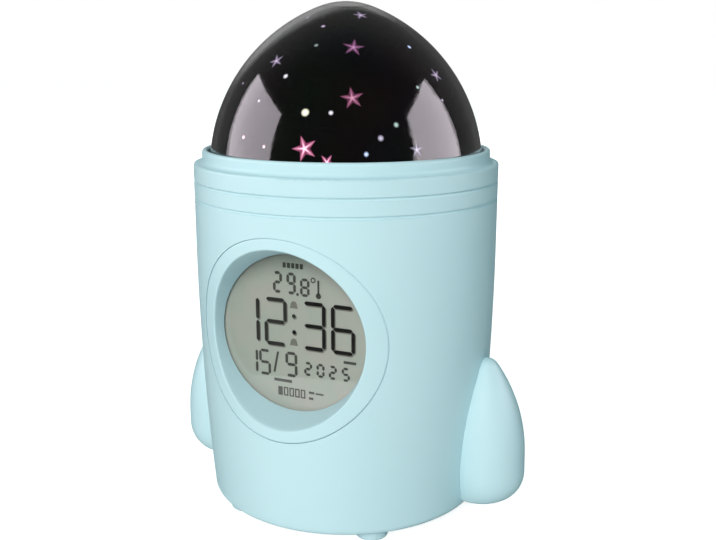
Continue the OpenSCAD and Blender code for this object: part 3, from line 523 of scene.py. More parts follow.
@dataclass
class Patch:
    """Vertices in millimetres with the quads and triangles that join them.

    A lit piece takes its brightness at each vertex from its heart.
    """

    points: Array
    quads: Array = field(default_factory=lambda: np.zeros((0, 4), int))
    tris: Array = field(default_factory=lambda: np.zeros((0, 3), int))
    heart: Array | float = 0.0

    def turned_out(self) -> Patch:
        """Turns the faces outwards where the sum of their triple products, six volumes, is negative.

        Returns:
            This patch, or one with its faces the other way round.
        """
        faces = np.vstack([self.tris, self.quads[:, [0, 1, 2]], self.quads[:, [0, 2, 3]]])
        a, b, c = (self.points[faces[:, i]] for i in range(3))
        if np.einsum("ij,ij->", a, np.cross(b, c)) < 0:
            return Patch(self.points, self.quads[:, ::-1], self.tris[:, ::-1], self.heart)
        return self


def joined(patches: list[Patch]) -> Patch:
    """Puts separate closed patches into one, each with its faces turned outwards.

    Args:
        patches: one or more.

    Returns:
        Their points one after the other, with faces that count on from patch to patch.
    """
    turned = [p.turned_out() for p in patches]
    starts = np.cumsum([0] + [len(p.points) for p in turned])
    quads = [p.quads + start for p, start in zip(turned, starts)]
    tris = [p.tris + start for p, start in zip(turned, starts)]
    hearts = [np.broadcast_to(p.heart, len(p.points)) for p in turned]
    points = np.vstack([p.points for p in turned])
    return Patch(points, np.vstack(quads), np.vstack(tris), np.concatenate(hearts))


def loft(rings: Array, ends: tuple[Array, Array] | None) -> Patch:
    """Joins closed rings of points into a closed surface.

    Point j of ring i is joined to its neighbours in the ring and to point j of the next ring. The two
    end rings are closed by a fan to a point each, or joined to each other where no ends are given.

    Args:
        rings: rows by columns by 3.
        ends: the two points that close the first and the last ring, or None for a closed tube.

    Returns:
        The closed patch.
    """
    rows, cols = rings.shape[:2]
    index = np.arange(rows * cols).reshape(rows, cols)
    if ends is None:
        index = np.vstack([index, index[:1]])
    side = np.roll(index, -1, axis=1)
    quads = np.stack([index[:-1], side[:-1], side[1:], index[1:]], axis=-1).reshape(-1, 4)
    points = rings.reshape(-1, 3)
    if ends is None:
        return Patch(points, quads)
    fans = ((side[0], index[0], 0), (index[-1], side[-1], 1))
    tris = [np.stack([a, b, np.full(cols, rows * cols + end)], axis=-1) for a, b, end in fans]
    return Patch(np.vstack([points, *ends]), quads, np.vstack(tris))


def link(name: str, data: ID, *hidden_from: str) -> Object:
    """Puts an object into the scene.

    Args:
        name: its name.
        data: its mesh, camera or lamp.
        hidden_from: kinds of rays that don't see it.

    Returns:
        The new object.
    """
    made = bpy.data.objects.new(name, data)
    for ray in hidden_from:
        setattr(made, f"visible_{ray}", False)
    bpy.context.scene.collection.objects.link(made)
    return made


def make_piece(
    name: str,
    patch: Patch,
    finish: Finish,
    body: str = Body.HOUSING.value,
    crease_deg: float = 35.0,
) -> Object:
    """Writes a patch into a mesh at its place and lets it ride on its body.

    Args:
        name: the piece's name.
        patch: its surface in millimetres.
        finish: its material.
        body: the body that it rides on.
        crease_deg: edges with a larger turn stay sharp.

    Returns:
        The new object.
    """
    patch = patch.turned_out()
    mesh = bpy.data.meshes.new(name)
    mesh.from_pydata((patch.points * MM).tolist(), [], patch.quads.tolist() + patch.tris.tolist())
    mesh.shade_smooth()
    mesh.set_sharp_from_angle(angle=math.radians(crease_deg))
    if np.any(patch.heart):
        layer = mesh.attributes.new("heart", "FLOAT", "POINT")
        layer.data.foreach_set("value", patch.heart.astype(np.float32))
    mesh.materials.append(finish.material())
    piece = link(name, mesh)
    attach(piece, body)
    LOG.info("%s: %d vertices, %d faces, rides on %s", name, len(mesh.vertices), len(mesh.polygons), body)
    return piece


def tile(outline: Array, near: float, far: float) -> Patch:
    """A thin tile in the X-Z plane between two depths.

    The outline is a closed curve that can be seen whole from its mean point: the tile is that curve at
    both depths, closed by fans to the mean point.

    Args:
        outline: n by 2, x and z.
        near: depth y of one face.
        far: depth y of the other face.

    Returns:
        The closed tile.
    """
    rings = np.stack([np.insert(outline, 1, depth, axis=1) for depth in (near, far)])
    middle = outline.mean(axis=0)
    return loft(rings, tuple(np.insert(middle, 1, depth) for depth in (near, far)))


def round_points(radius: float | Array, count: int, turn: float = 0.0) -> Array:
    """Points at equal angles round the middle, the first at that turn in radians."""
    angle = np.arange(count) * 2 * np.pi / count + turn
    return np.stack([radius * np.cos(angle), radius * np.sin(angle)], axis=-1)


def disc(x: float, z: float, radius: float, count: int = 24) -> Array:
    """Outline of a circle round (x, z)."""
    return round_points(radius, count) + [x, z]


def bar(x0: float, z0: float, x1: float, z1: float) -> Array:
    """Outline of an upright rectangle between two corners."""
    return np.array([[x0, z0], [x1, z0], [x1, z1], [x0, z1]])


def slanted_bar(start: Pair | Array, end: Pair | Array, width: float) -> Array:
    """Outline of a rectangle along a line.

    Its corners lie half a width to either side of the line's two ends, across the line.

    Args:
        start: x and z of one end.
        end: x and z of the other end.
        width: size across the line.

    Returns:
        4 by 2, the corners.
    """
    a, b = np.array(start), np.array(end)
    along = (b - a) / np.linalg.norm(b - a)
    across = np.array([-along[1], along[0]]) * width / 2
    return np.array([a - across, b - across, b + across, a + across])


def bell_outline(half: float, height: float, foot_half: float, foot: float, count: int = 13) -> Array:
    """Outline of a bell: a half ellipse over x = 0 and z = 0 that stands on a wider foot.

    Args:
        half: half width of the ellipse.
        height: its height.
        foot_half: half width of the foot.
        foot: the foot's z.
        count: points of the ellipse.

    Returns:
        n by 2, x and z.
    """
    angle = np.linspace(0, np.pi, count)
    arch = np.stack([half * np.cos(angle), height * np.sin(angle)], axis=1)
    return np.vstack([arch, [[-foot_half, foot], [foot_half, foot]]])


def bars_round(centre: Pair, radii: Pair, count: int, turn: float, width: float) -> list[Array]:
    """Outlines of equal bars round a centre, each from one radius to the other by that turn in radians."""
    starts, ends = (np.array(centre) + round_points(r, count, t) for r, t in zip(radii, (0.0, turn)))
    return [slanted_bar(start, end, width) for start, end in zip(starts, ends)]


def direction(turn_deg: float | Array, rise_deg: float | Array) -> Array:
    """Unit vectors that turn from the front, -Y, towards +X and then rise, both in degrees."""
    turn, rise = np.radians(turn_deg), np.radians(rise_deg)
    return np.stack([np.cos(rise) * np.sin(turn), -np.cos(rise) * np.cos(turn), np.sin(rise)], axis=-1)


# ---- the clock's shared shapes


@dataclass(frozen=True)
class Barrel:
    """The housing's outer form: a cylinder above the taper height and an arc below it."""

    radius: float = 52.5
    taper_in: float = 3.9
    base_z: float = 4.0
    taper_z: float = 93.4

    def radius_at(self, z: float | Array) -> Array:
        """Outer radius at a height: the arc's centre lies at the taper height, so it starts upright.

        Args:
            z: one or more heights.

        Returns:
            The radius at each.
        """
        height = self.taper_z - self.base_z
        arc = (height**2 + self.taper_in**2) / (2 * self.taper_in)
        below = np.clip(self.taper_z - z, 0, None)
        return self.radius - arc + np.sqrt(arc**2 - below**2)


@dataclass(frozen=True)
class Ogive:
    """A pointed arch turned round its axis: a side arc that runs smoothly into a round nose."""

    belly: float
    nose: float
    length: float
    base_z: float

    @property
    def offset(self) -> float:
        """Distance of the side arc's centre beyond the axis."""
        straight, wide = self.length - self.nose, self.belly - self.nose
        return (straight**2 - wide**2) / (2 * wide)

    @property
    def meet(self) -> float:
        """Height above the belly at which the side arc touches the nose."""
        big = self.offset + self.belly
        return (self.length - self.nose) * big / (big - self.nose)

    def distance(self, points: Array) -> Array:
        """Distance of points to the side arc, or to the nose above the height where they meet.

        Args:
            points: any shape by 3.

        Returns:
            Distance for each point, negative inside.
        """
        rho = np.hypot(points[..., 0], points[..., 1])
        z = points[..., 2] - self.base_z
        side = np.hypot(rho + self.offset, z) - (self.offset + self.belly)
        tip = np.hypot(rho, z - (self.length - self.nose)) - self.nose
        return np.where(z < self.meet, side, tip)

    def radius_at(self, z: Array) -> Array:
        """Radius of the side arc below the meeting height and of the nose above it.

        Args:
            z: heights above the belly.

        Returns:
            The radius at each.
        """
        side = np.sqrt(np.clip((self.offset + self.belly) ** 2 - z**2, 0, None)) - self.offset
        tip = np.sqrt(np.clip(self.nose**2 - (z - self.length + self.nose) ** 2, 0, None))
        return np.where(z < self.meet, side, tip)


BARREL = Barrel()
DOME = Ogive(belly=47.2, nose=25.7, length=57.1, base_z=117.4)


# ---- fins


@dataclass
class Fins:
    """Two hollow teardrop fins, moulded in one piece each and screwed on from inside.

    The widths and heights are those of the outline. The gap keeps the skin off the barrel's wall.
    """

    out: float = 53.45
    floor_z: float = 6.0
    belly_z: float = 23.0
    belly: float = 13.5
    nose: float = 4.7
    length: float = 33.4
    edge: float = 8.9
    edge_z: float = 10.25
    narrowing: float = 3.8
    soft: float = 1.2
    lean_deg: float = 1.2
    gap: float = 0.02
    clear_share: float = 0.97
    least_cosine: float = 0.999
    tip_rise: float = 0.05
    edge_levels: int = 48
    upright_levels: int = 16
    levels: int = 120
    steps: int = 64

    def section(self) -> tuple[Array, Array]:
        """Heights and radii of the fin's own outline.

        The lower edge is a quarter ellipse, then the outline runs upright to the belly and on as an ogive.
        Heights are spaced by a cosine, so the round parts get the most levels.

        Returns:
            The heights, and the radius at each.
        """
        ogive = Ogive(self.belly, self.nose, self.length, 0.0)
        turn = np.linspace(0, np.pi / 2, self.edge_levels)
        edge_z = self.floor_z + self.edge_z * (1 - np.cos(turn))
        edge_r = self.belly - self.edge + self.edge * np.sin(turn)
        upright = np.linspace(edge_z[-1], self.belly_z, self.upright_levels)[1:]
        share = np.linspace(0, np.pi, self.levels)[1:-1]
        rise = self.length * (1 - np.cos(share)) / 2
        z = np.concatenate([edge_z, upright, self.belly_z + rise])
        radius = np.concatenate([edge_r, np.full(len(upright), self.belly), ogive.radius_at(rise)])
        return z, radius

    def circles(self) -> tuple[Array, Array, Array, Array]:
        """The circles that the fin is made of, one at each height.

        From the belly up they are the outline turned round the leaning axis. Below it each circle runs
        through the outline's outermost point and two points of the wall, half a width to either side. That
        half width starts as it is at the belly, narrows with the square of the way down, and turns in by a
        quarter circle at the soft lower edge. The centre is (o * o - w * w) / (2 * (o - c)), from the
        outermost point o, the wall's radius w and the distance c of the two points along the middle.

        Returns:
            Heights, centres and radii of the circles, and the barrel's radius at each height.
        """
        z, radius = self.section()
        centre = self.out - (z - self.belly_z) * math.tan(math.radians(self.lean_deg))
        wall = BARREL.radius_at(z) + self.gap
        belly_wall = BARREL.radius_at(self.belly_z) + self.gap
        along = (belly_wall**2 - self.out**2 - self.belly**2) / (2 * self.out)
        down = np.clip((self.belly_z - z) / (self.belly_z - self.floor_z), 0, 1)
        turn_in = np.clip((self.floor_z + self.soft - z) / self.soft, 0, 1)
        half = math.sqrt(self.belly**2 - along**2) - self.narrowing * down**2
        half = half - self.soft * (1 - np.sqrt(1 - turn_in**2))
        outermost, contact = centre + radius, np.sqrt(wall**2 - half**2)
        low_centre = (outermost**2 - wall**2) / (2 * (outermost - contact))
        centre = np.where(z < self.belly_z, low_centre, centre)
        return z, centre, outermost - centre, wall

    def patch(self, side: int) -> Patch:
        """The fin's surface.

        At each height the fin is a circle, cut off by the barrel's circle. The outer arc runs between the
        two crossings, at the angles whose cosine is (R * R - c * c - r * r) / (2 * c * r), and the inner arc
        follows the barrel back. Near its tip, where the fin stands clear of the barrel, the outer arc keeps
        to a share of the half turn, so that the inner arc never shrinks to a point.

        Args:
            side: 1 for +X and -1 for -X.

        Returns:
            The closed fin.
        """
        z, centre, radius, wall = self.circles()
        cosine = (wall**2 - centre**2 - radius**2) / (2 * centre * radius)
        keep = cosine < self.least_cosine
        z, radius, centre, cosine = (a[keep] for a in (z, radius, centre, cosine))
        cosine = np.maximum(cosine, math.cos(math.pi * self.clear_share))
        crossing = np.arccos(cosine)
        out_x, out_y = centre + radius * cosine, radius * np.sin(crossing)
        outer = crossing[:, None] * np.linspace(-1, 1, self.steps)
        inner = np.arctan2(out_y, out_x)[:, None] * np.linspace(1, -1, self.steps // 2 + 2)[1:-1]
        centre, radius, reach = (a[:, None] for a in (centre, radius, np.hypot(out_x, out_y)))
        x = np.hstack([centre + radius * np.cos(outer), reach * np.cos(inner)]) * side
        y = np.hstack([radius * np.sin(outer), reach * np.sin(inner)]) * side
        rings = np.stack([x, y, np.broadcast_to(z[:, None], x.shape)], axis=-1)
        foot = rings[0].mean(axis=0)
        tip = rings[-1].mean(axis=0) + [0, 0, self.tip_rise]
        return loft(rings, (foot, tip))

    def build(self) -> None:
        """Makes both fins in place of the plain ones."""
        for name, side in (("fin_left", -1), ("fin_right", 1)):
            skin = make_piece(f"{name}_skin", self.patch(side), TURQUOISE, crease_deg=50.0)
            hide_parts(name)


# ---- display


class Segment(Enum):
    """The seven bars of a digit by their usual letters: two corners, each a column and a half row."""

    A = ((0, 2), (1, 2))
    B = ((1, 1), (1, 2))
    C = ((1, 0), (1, 1))
    D = ((0, 0), (1, 0))
    E = ((0, 0), (0, 1))
    F = ((0, 1), (0, 2))
    G = ((0, 1), (1, 1))


DIGITS = dict(zip("01235689", "ABCDEF BC ABGED ABGCD AFGCD ACDEFG ABCDEFG ABCDFG".split()))


@dataclass(frozen=True)
class DigitRow:
    """Digits of one size on one line: the left edge of each, the line's foot and the digits' sizes."""

    digits: str
    lefts: tuple[float, ...]
    foot: float
    width: float
    height: float
    stroke: float
    gap: float = 0.12

    def outlines(self) -> list[Array]:
        """Outlines of the bars that are on: each a rectangle with both ends cut to a point."""
        places = zip(self.digits, self.lefts)
        return [self.bar_outline(Segment[letter], left) for digit, left in places for letter in DIGITS[digit]]

    def bar_outline(self, segment: Segment, left: float) -> Array:
        """Outline of one bar: a rectangle between two corners of the digit, with a point at each end.

        Args:
            segment: the bar.
            left: x of the digit's left edge.

        Returns:
            6 by 2, x and z.
        """
        half = self.stroke / 2
        span = np.array([self.width - self.stroke, (self.height - self.stroke) / 2])
        start, end = ([left + half, self.foot + half] + span * p for p in np.array(segment.value))
        along = (end - start) / np.linalg.norm(end - start)
        a, b = start + along * self.gap, end - along * self.gap
        sides = slanted_bar(a + along * half, b - along * half, self.stroke)
        return np.vstack([a, sides[:2], b, sides[2:]])


@dataclass
class Display:
    """The round insert with its funnel, and the liquid crystal glass behind its window."""

    centre_z: float = 69.306
    window: float = 26.2
    window_y: float = 40.2
    rim_y: float = 39.2
    seat: float = 27.8
    rim: float = 33.4
    rim_round: float = 0.5
    slope: float = 0.28
    soft: float = 1.5
    around: int = 256
    cone_steps: int = 64
    round_steps: int = 8
    round_start: float = 0.15
    round_end: float = 0.98
    glass_y: float = 39.1
    ink: float = 0.015
    colon: tuple[tuple[float, float, float], ...] = ((-0.1, 0.3, 0.75), (-0.1, 5.7, 0.7))
    # shift of the painted segment shadows from the segments whose shadows they stand for
    shadow: Pair = (0.35, -0.42)
    rows: tuple[DigitRow, ...] = (
        DigitRow("12", (-21.3, -11.1), -5.0, 8.4, 16.2, 1.3),
        DigitRow("36", (2.9, 13.2), -5.0, 8.4, 16.2, 1.3),
        DigitRow("29", (-7.6, -2.6), 12.9, 3.4, 7.2, 1.0),
        DigitRow("8", (2.3,), 12.6, 3.4, 6.0, 0.9),
        DigitRow("15", (-18.2, -13.4), -15.7, 4.4, 8.9, 0.95),
        DigitRow("9", (-3.5,), -15.1, 4.4, 8.6, 1.0),
        DigitRow("2025", (3.4, 7.9, 12.3, 16.9), -13.8, 2.9, 4.7, 0.85),
    )

    def insert_patch(self) -> Patch:
        """The insert's skin.

        Round the display's axis, the front depth at radius q is the smaller of two depths: the cone of
        the funnel, window depth + (q - window) / slope, and the barrel's front, the root of
        R * R - x * x. A smooth minimum blends them, so the funnel's mouth is round. The skin then turns
        over the outer edge, runs back along the side and returns behind the funnel to the window's seat.

        Returns:
            The closed skin.
        """
        mouth = self.rim - self.rim_round
        turn = np.linspace(self.round_start, 1, self.round_steps) * np.pi / 2
        lip = self.rim - self.rim_round * (1 - np.sin(turn))
        q = np.concatenate([np.linspace(self.window, mouth, self.cone_steps), lip])[:, None]
        x, z = np.moveaxis(round_points(q, self.around), -1, 0)
        wall = BARREL.radius_at(z + self.centre_z)
        front = np.sqrt(wall**2 - x**2)
        cone = self.window_y + (q - self.window) / self.slope
        mix = np.clip(0.5 + 0.5 * (front - cone) / self.soft, 0, 1)
        depth = front * (1 - mix) + cone * mix - self.soft * mix * (1 - mix)
        over = np.clip((q - mouth) / self.rim_round, 0, 1)
        depth = depth - self.rim_round * (1 - np.sqrt(1 - over**2 * self.round_end))
        skin = np.stack([x, -depth, z + self.centre_z], axis=-1)

        back = ((self.rim, self.rim_y), (self.seat, self.rim_y), (self.seat, self.window_y))
        behind = [np.insert(disc(0.0, self.centre_z, q, self.around), 1, -y, axis=1) for q, y in back]
        return loft(np.vstack([skin, behind]), None)

    def build(self) -> None:
        """Makes the insert's skin, the digits, the signs, two faint bells and the segments' painted shadows.
        """
        patch = self.insert_patch()
        skin = make_piece("display_bezel_skin", patch, TURQUOISE, crease_deg=40.0)
        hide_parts("display_bezel")
        hours, minutes, *small = self.rows
        low_dot, high_dot = (disc(*dot) for dot in self.colon)
        black, dark = [*minutes.outlines(), low_dot], [*hours.outlines(), high_dot]
        grey = [o for row in small for o in row.outlines()] + self.signs()
        self.show("minute_segments", black, SEGMENT_BLACK, 0.06)
        self.show("hour_segments", dark, SEGMENT_DARK, 0.06)
        self.show("small_segments", grey, SEGMENT_GREY, 0.06)
        bell = bell_outline(1.15, 1.2, 1.5, -1.2)
        self.show("faint_segments", [bell + [-0.1, 9.5], bell + [-0.25, -3.0]], SEGMENT_FAINT_AND_PAINTED_SHADOW, 0.04)
        # painted shadow: shifted grey copies of the dark segments stand for the shadows that they cast on the
        # reflector
        self.show("painted_segment_shadows", [o + self.shadow for o in black + dark], SEGMENT_FAINT_AND_PAINTED_SHADOW, 0.02)

    def show(self, name: str, outlines: list[Array], finish: Finish, lift: float) -> None:
        """Makes one piece of the tiles that share an ink, just in front of the glass.

        Args:
            name: the piece's name.
            outlines: outlines of the tiles, from the display's middle.
            finish: the ink.
            lift: distance from the glass.
        """
        back = -self.glass_y - lift
        tiles = [tile(outline + [0, self.centre_z], back - self.ink, back) for outline in outlines]
        make_piece(name, joined(tiles), finish)

    def signs(self) -> list[Array]:
        """Draws the signs beside the digits: point, degree ring, stroke, level and weekday blocks.

        Returns:
            Their outlines from the display's middle.
        """
        degree = bars_round((7.0, 18.3), (0.75, 0.75), 8, 0.8, 0.4)
        level = [bar(-3.9 + 1.55 * i, 21.5, -2.75 + 1.55 * i, 23.2) for i in range(5)]
        week = [side for i in range(1, 5) for side in self.box(-6.4 + 2.1 * i, -21.9, 1.7, 3.0)]
        marks = [bar(5.0, -19.9, 7.0, -19.1), bar(7.5, -19.9, 10.4, -19.3), bar(5.0, -21.9, 6.6, -21.1)]
        lines = [bar(17.6, -7.8, 22.0, -6.9), bar(-7.8, -17.2, -1.2, -16.2)]
        thermometer = [bar(8.5, 13.6, 9.2, 18.4), disc(8.85, 13.3, 0.95, 16)]
        stroke = [slanted_bar((-7.7, -14.2), (-6.2, -7.0), 0.75)]
        today = bar(-6.4, -21.9, -4.7, -18.9)
        point = disc(1.35, 13.1, 0.5, 12)
        return [point, *degree, *level, today, *week, *marks, *lines, *thermometer, *stroke]

    def box(self, left: float, foot: float, width: float, height: float, line: float = 0.45) -> list[Array]:
        """Frames a rectangle with four bars.

        Args:
            left: x of its left edge.
            foot: z of its lower edge.
            width: its width.
            height: its height.
            line: width of the bars.

        Returns:
            Outlines of the bars.
        """
        right, top = left + width, foot + height
        return [
            bar(left, foot, right, foot + line),
            bar(left, top - line, right, top),
            bar(left, foot + line, left + line, top - line),
            bar(right - line, foot + line, right, top - line),
        ]


# ---- dome


class Glow(Enum):
    """Colours of the lit openings: heart, tip and strength."""

    PINK = ("#FFBCDB", "#DC62A0", 0.95)
    ROSE = ("#FFDCEC", "#E85C9C", 2.1)
    BLUSH = ("#FFF4F8", "#F0B8CC", 2.4)
    PURPLE = ("#EBA8DC", "#A8549A", 0.95)
    VIOLET = ("#D6C6E2", "#8C7AA0", 1.7)
    PALE = ("#F4EEFF", "#A79CC4", 1.1)
    BLUE = ("#D9E6FF", "#6C8CC0", 2.0)
    GREEN = ("#CFDEDA", "#5E7C74", 0.9)
    TEAL = ("#E6FFF8", "#83AAA0", 1.1)
    WHITE = ("#FFFFFF", "#C9C2D6", 1.6)
    YELLOW = ("#FFFFF4", "#E2E2B8", 2.2)


@dataclass
class StarDome:
    """The turning dome: a clear cover over a black mask whose openings are lit."""

    lamp_z: float = 121.6
    star_d: float = 7.6
    inner_share: float = 0.21
    mask_out: float = 1.6
    mask_wall: float = 0.8
    sunk: float = 0.12
    spare: float = 0.97
    reach_mm: Pair = (15.0, 70.0)
    halvings: int = 40
    rim_fall: float = 0.85
    waist_fall: float = 1.6
    least_heart: float = 0.001
    front_stars: tuple[tuple[float, float, float, float, Glow], ...] = (
        (28, 30, 1, 8, Glow.PINK), (30, 53, 1, -10, Glow.PURPLE), (9, 10, 1.1, 20, Glow.ROSE),
        (44, 73, 0.8, 5, Glow.VIOLET), (-17, 46, 0.8, 30, Glow.VIOLET), (78, 39, 0.8, 14, Glow.VIOLET),
        (54, 9, 0.7, 0, Glow.PALE), (-28, 72, 0.7, 12, Glow.VIOLET), (18, 5, 0.7, 40, Glow.ROSE),
    )
    front_dots: tuple[tuple[float, float, float, Glow], ...] = (
        (5, 65, 1.6, Glow.VIOLET), (6, 54, 1.6, Glow.GREEN), (70, 53, 1.6, Glow.BLUE),
        (-6, 39, 1.8, Glow.WHITE), (8, 24, 2.6, Glow.YELLOW), (19, 24, 1.6, Glow.WHITE),
        (46, 19, 1.8, Glow.TEAL), (39, 14, 2, Glow.PALE), (33, 8, 1.6, Glow.BLUE),
        (-17, 28, 1.2, Glow.WHITE), (-21, 13, 1.4, Glow.BLUSH), (-9, 10, 1.2, Glow.BLUSH),
        (61, 34, 1.4, Glow.TEAL), (-36, 35, 1.2, Glow.VIOLET), (74, 28, 1.2, Glow.VIOLET),
    )

    def openings(self) -> list[tuple[float, float, Array, Glow]]:
        """Lists the openings: the front ones, then rules that step round the far side.

        Returns:
            Turn, height angle, outline and glow of each, first the stars and then the dots.
        """
        glows = list(Glow)
        stars, dots = [*self.front_stars], [*self.front_dots]
        for i in range(8):
            stars.append((112 + 24 * i, 12 + 29 * i % 60, 0.7 + 0.1 * (i % 4), 17 * i, glows[2 * i % 6]))
        for i in range(18):
            dots.append((100 + 12 * i, 8 + (37 * i + 11) % 62, 1.2 + 0.3 * (i % 4), glows[5 * i % 9]))
        shapes = [(turn, rise, self.star(share, spin), glow) for turn, rise, share, spin, glow in stars]
        return shapes + [(turn, rise, disc(0, 0, size / 2, 16), glow) for turn, rise, size, glow in dots]

    def cast(self, flat: Array, turn: float, height: float, inset: float) -> Array:
        """Carries a flat shape along its ray onto the dome.

        Each point starts beside the lamp, at its place in the flat shape, and moves outwards until it is
        that far inside the dome's surface. The distance is found by halving an interval again and again.

        Args:
            flat: n by 2, down and sideways.
            turn: the ray's turn from the front.
            height: the ray's height angle.
            inset: depth under the dome's surface.

        Returns:
            n by 3, the points on the dome.
        """
        outward, down = direction(turn, height), direction(turn, height - 90)
        sideways = direction(turn + 90, 0)
        start = np.array([0, 0, self.lamp_z]) + flat[:, :1] * down + flat[:, 1:] * sideways
        low, high = (np.full(len(flat), reach) for reach in self.reach_mm)
        for _ in range(self.halvings):
            middle = (low + high) / 2
            outside = DOME.distance(start + middle[:, None] * outward) > -inset
            high = np.where(outside, middle, high)
            low = np.where(outside, low, middle)
        return start + high[:, None] * outward

    def insert(self, outline: Array, turn: float, height: float) -> Patch:
        """A lit insert, sunk a little into the mask's opening from both faces.

        The outline grows in steps on the outer face and shrinks again on the inner one. Its brightness
        falls from the middle to the rim, and faster where the outline has its waists.

        Args:
            outline: n by 2, down and sideways.
            turn: turn from the front.
            height: height angle.

        Returns:
            The closed insert with its hearts.
        """
        outer, inner = self.mask_out + self.sunk, self.mask_out + self.mask_wall - self.sunk
        steps = ((0.3, outer), (0.6, outer), (0.85, outer), (1.0, outer), (1.0, inner), (0.5, inner))
        rings = [self.cast(outline * share * self.spare, turn, height, inset) for share, inset in steps]
        ends = tuple(self.cast(np.zeros((1, 2)), turn, height, inset)[0] for inset in (outer, inner))
        patch = loft(np.stack(rings), ends)
        reach = np.hypot(outline[:, 0], outline[:, 1])
        waist = 1 + self.waist_fall * (1 - reach / reach.max())
        fall = [np.clip(1 - self.rim_fall * share * waist, 0, 1) for share, _ in steps]
        patch.heart = np.concatenate([*fall, [1.0, 1.0]]) + self.least_heart
        return patch

    def star(self, share: float, spin_deg: float) -> Array:
        """Outline of a five-pointed star: ten points at equal angles that change between two radii.

        Args:
            share: its size, as a share of the full one.
            spin_deg: how far it is turned.

        Returns:
            10 by 2, down and sideways.
        """
        size = self.star_d * share
        radius = np.where(np.arange(10) % 2 == 0, size / 2, size * self.inner_share)
        return round_points(radius, 10, math.radians(180 + spin_deg))

    def build(self) -> None:
        """Makes the lit inserts, one piece for each colour."""
        groups: dict[Glow, list[Patch]] = {}
        for turn, height, outline, glow in self.openings():
            groups.setdefault(glow, []).append(self.insert(outline, turn, height))
        for glow, patches in groups.items():
            name = glow.name.lower()
            finish = StarLight(f"lit_diffuser_{name}", *glow.value)
            make_piece(f"lit_openings_{name}", joined(patches), finish, body=Body.DOME.value)


# ---- rear


@dataclass
class RearMarks:
    """Pad-printed signs on the caps of the rear buttons."""

    cap_y: float = 47.005
    film: float = 0.04
    button_x: float = 9.5
    rows: tuple[float, float, float] = (87.006, 75.006, 63.006)

    def shapes(self) -> dict[str, tuple[int, int, list[Array]]]:
        """Draws the signs as they are seen from behind.

        Returns:
            For each button its column, its row and the sign's outlines.
        """
        ring = bars_round((0.0, 0.0), (1.5, 1.5), 12, 0.55, 0.5)
        rays = bars_round((0.0, 0.0), (1.3, 2.1), 8, 0.0, 0.4)
        note = [disc(-0.5, -1.2, 0.8, 16), bar(0.0, -1.2, 0.4, 1.8), slanted_bar((0.2, 1.6), (1.5, 0.8), 0.5)]
        bell = bell_outline(1.3, 1.5, 1.7, -1.3)
        return {
            "alarm_button": (-1, 0, [bell, disc(0, -1.9, 0.45, 12)]),
            "mode_button": (1, 0, [*ring, disc(0, 0, 0.5, 12)]),
            "up_button": (-1, 1, [np.array([[-1.7, -1.2], [1.7, -1.2], [0, 1.7]])]),
            "down_button": (1, 1, [np.array([[-1.7, 1.2], [0, -1.7], [1.7, 1.2]])]),
            "light_button": (-1, 2, [*rays, disc(0, 0, 0.85, 16)]),
            "sound_button": (1, 2, note),
        }

    def build(self) -> None:
        """Makes each button's sign, riding on its button."""
        for name, (column, row, outlines) in self.shapes().items():
            place = np.array([column * self.button_x, self.rows[row]])
            tiles = [tile(o * [-1, 1] + place, self.cap_y, self.cap_y + self.film) for o in outlines]
            make_piece(f"{name}_sign", joined(tiles), PRINT_GREY, name)


# ---- frame and studio


def dress_frame(frame: dict) -> None:
    """Gives every node of the frame the finish of its slot.

    Args:
        frame: the loaded frame with its nodes and its record.
    """
    slots = {row["node"]: row["material_slot"] for row in frame["record"]["subparts"]}
    for name, node in frame["nodes"].items():
        finish = SLOT_FINISHES[slots[name]]
        node.data.materials.clear()
        node.data.materials.append(finish.material())
        LOG.info("%s: dressed in %s", name, finish.name)


def stage_sheet(name: str, corners: Array, finish: Finish, *hidden_from: str) -> None:
    """Makes a flat sheet of the studio, one face through its corners in metres.

    Args:
        name: the sheet's name.
        corners: n by 3.
        finish: its material.
        hidden_from: kinds of rays that don't see it.
    """
    mesh = bpy.data.meshes.new(name)
    mesh.from_pydata(corners.tolist(), [], [tuple(range(len(corners)))])
    mesh.materials.append(finish.material())
    link(name, mesh, *hidden_from)


@dataclass(frozen=True)
class KeyLight:
    """A flat soft light that faces the clock and isn't mirrored in it."""

    name: str
    turn_deg: float
    rise_deg: float
    away: float
    size: float
    radiance: float
    tint: str = WHITE
    aim_z: float = 0.09

    def build(self) -> None:
        """Places the light; its power is its radiance times its area times pi."""
        lamp = bpy.data.lights.new(self.name, "AREA")
        lamp.color = linear(self.tint)[:3]
        lamp.shape = "SQUARE"
        lamp.size = self.size
        lamp.energy = self.radiance * self.size**2 * math.pi
        holder = link(self.name, lamp, "glossy", "transmission")
        holder.location = self.away * direction(self.turn_deg, self.rise_deg) + [0, 0, self.aim_z]
        holder.rotation_euler = np.radians([90 - self.rise_deg, 0, self.turn_deg])


@dataclass(frozen=True)
class ReflectorBoard:
    """A bright board that is only seen mirrored in gloss. Its corners are directions in degrees."""

    name: str
    corners: tuple[Pair, ...]
    radiance: float
    tint: str = WHITE
    away: float = 1.1
    eye_z: float = 0.14

    def build(self) -> None:
        """Makes the board: its corners lie in their directions from the eye's height, that far away."""
        points = self.away * direction(*np.transpose(self.corners)) + [0, 0, self.eye_z]
        glow = StageGlow(self.name, self.tint, self.radiance)
        stage_sheet(self.name, points, glow, "camera", "diffuse", "shadow")


@dataclass(frozen=True)
class Zone:
    """A round part of the surroundings that gloss and glass show.

    Its middle lies behind the clock, turned to the left and upwards from the camera's view. Its light
    grows from low to high between two cosines of the angle to the middle.
    """

    left_deg: float
    rise_deg: float
    start: float
    end: float
    low: float
    high: float


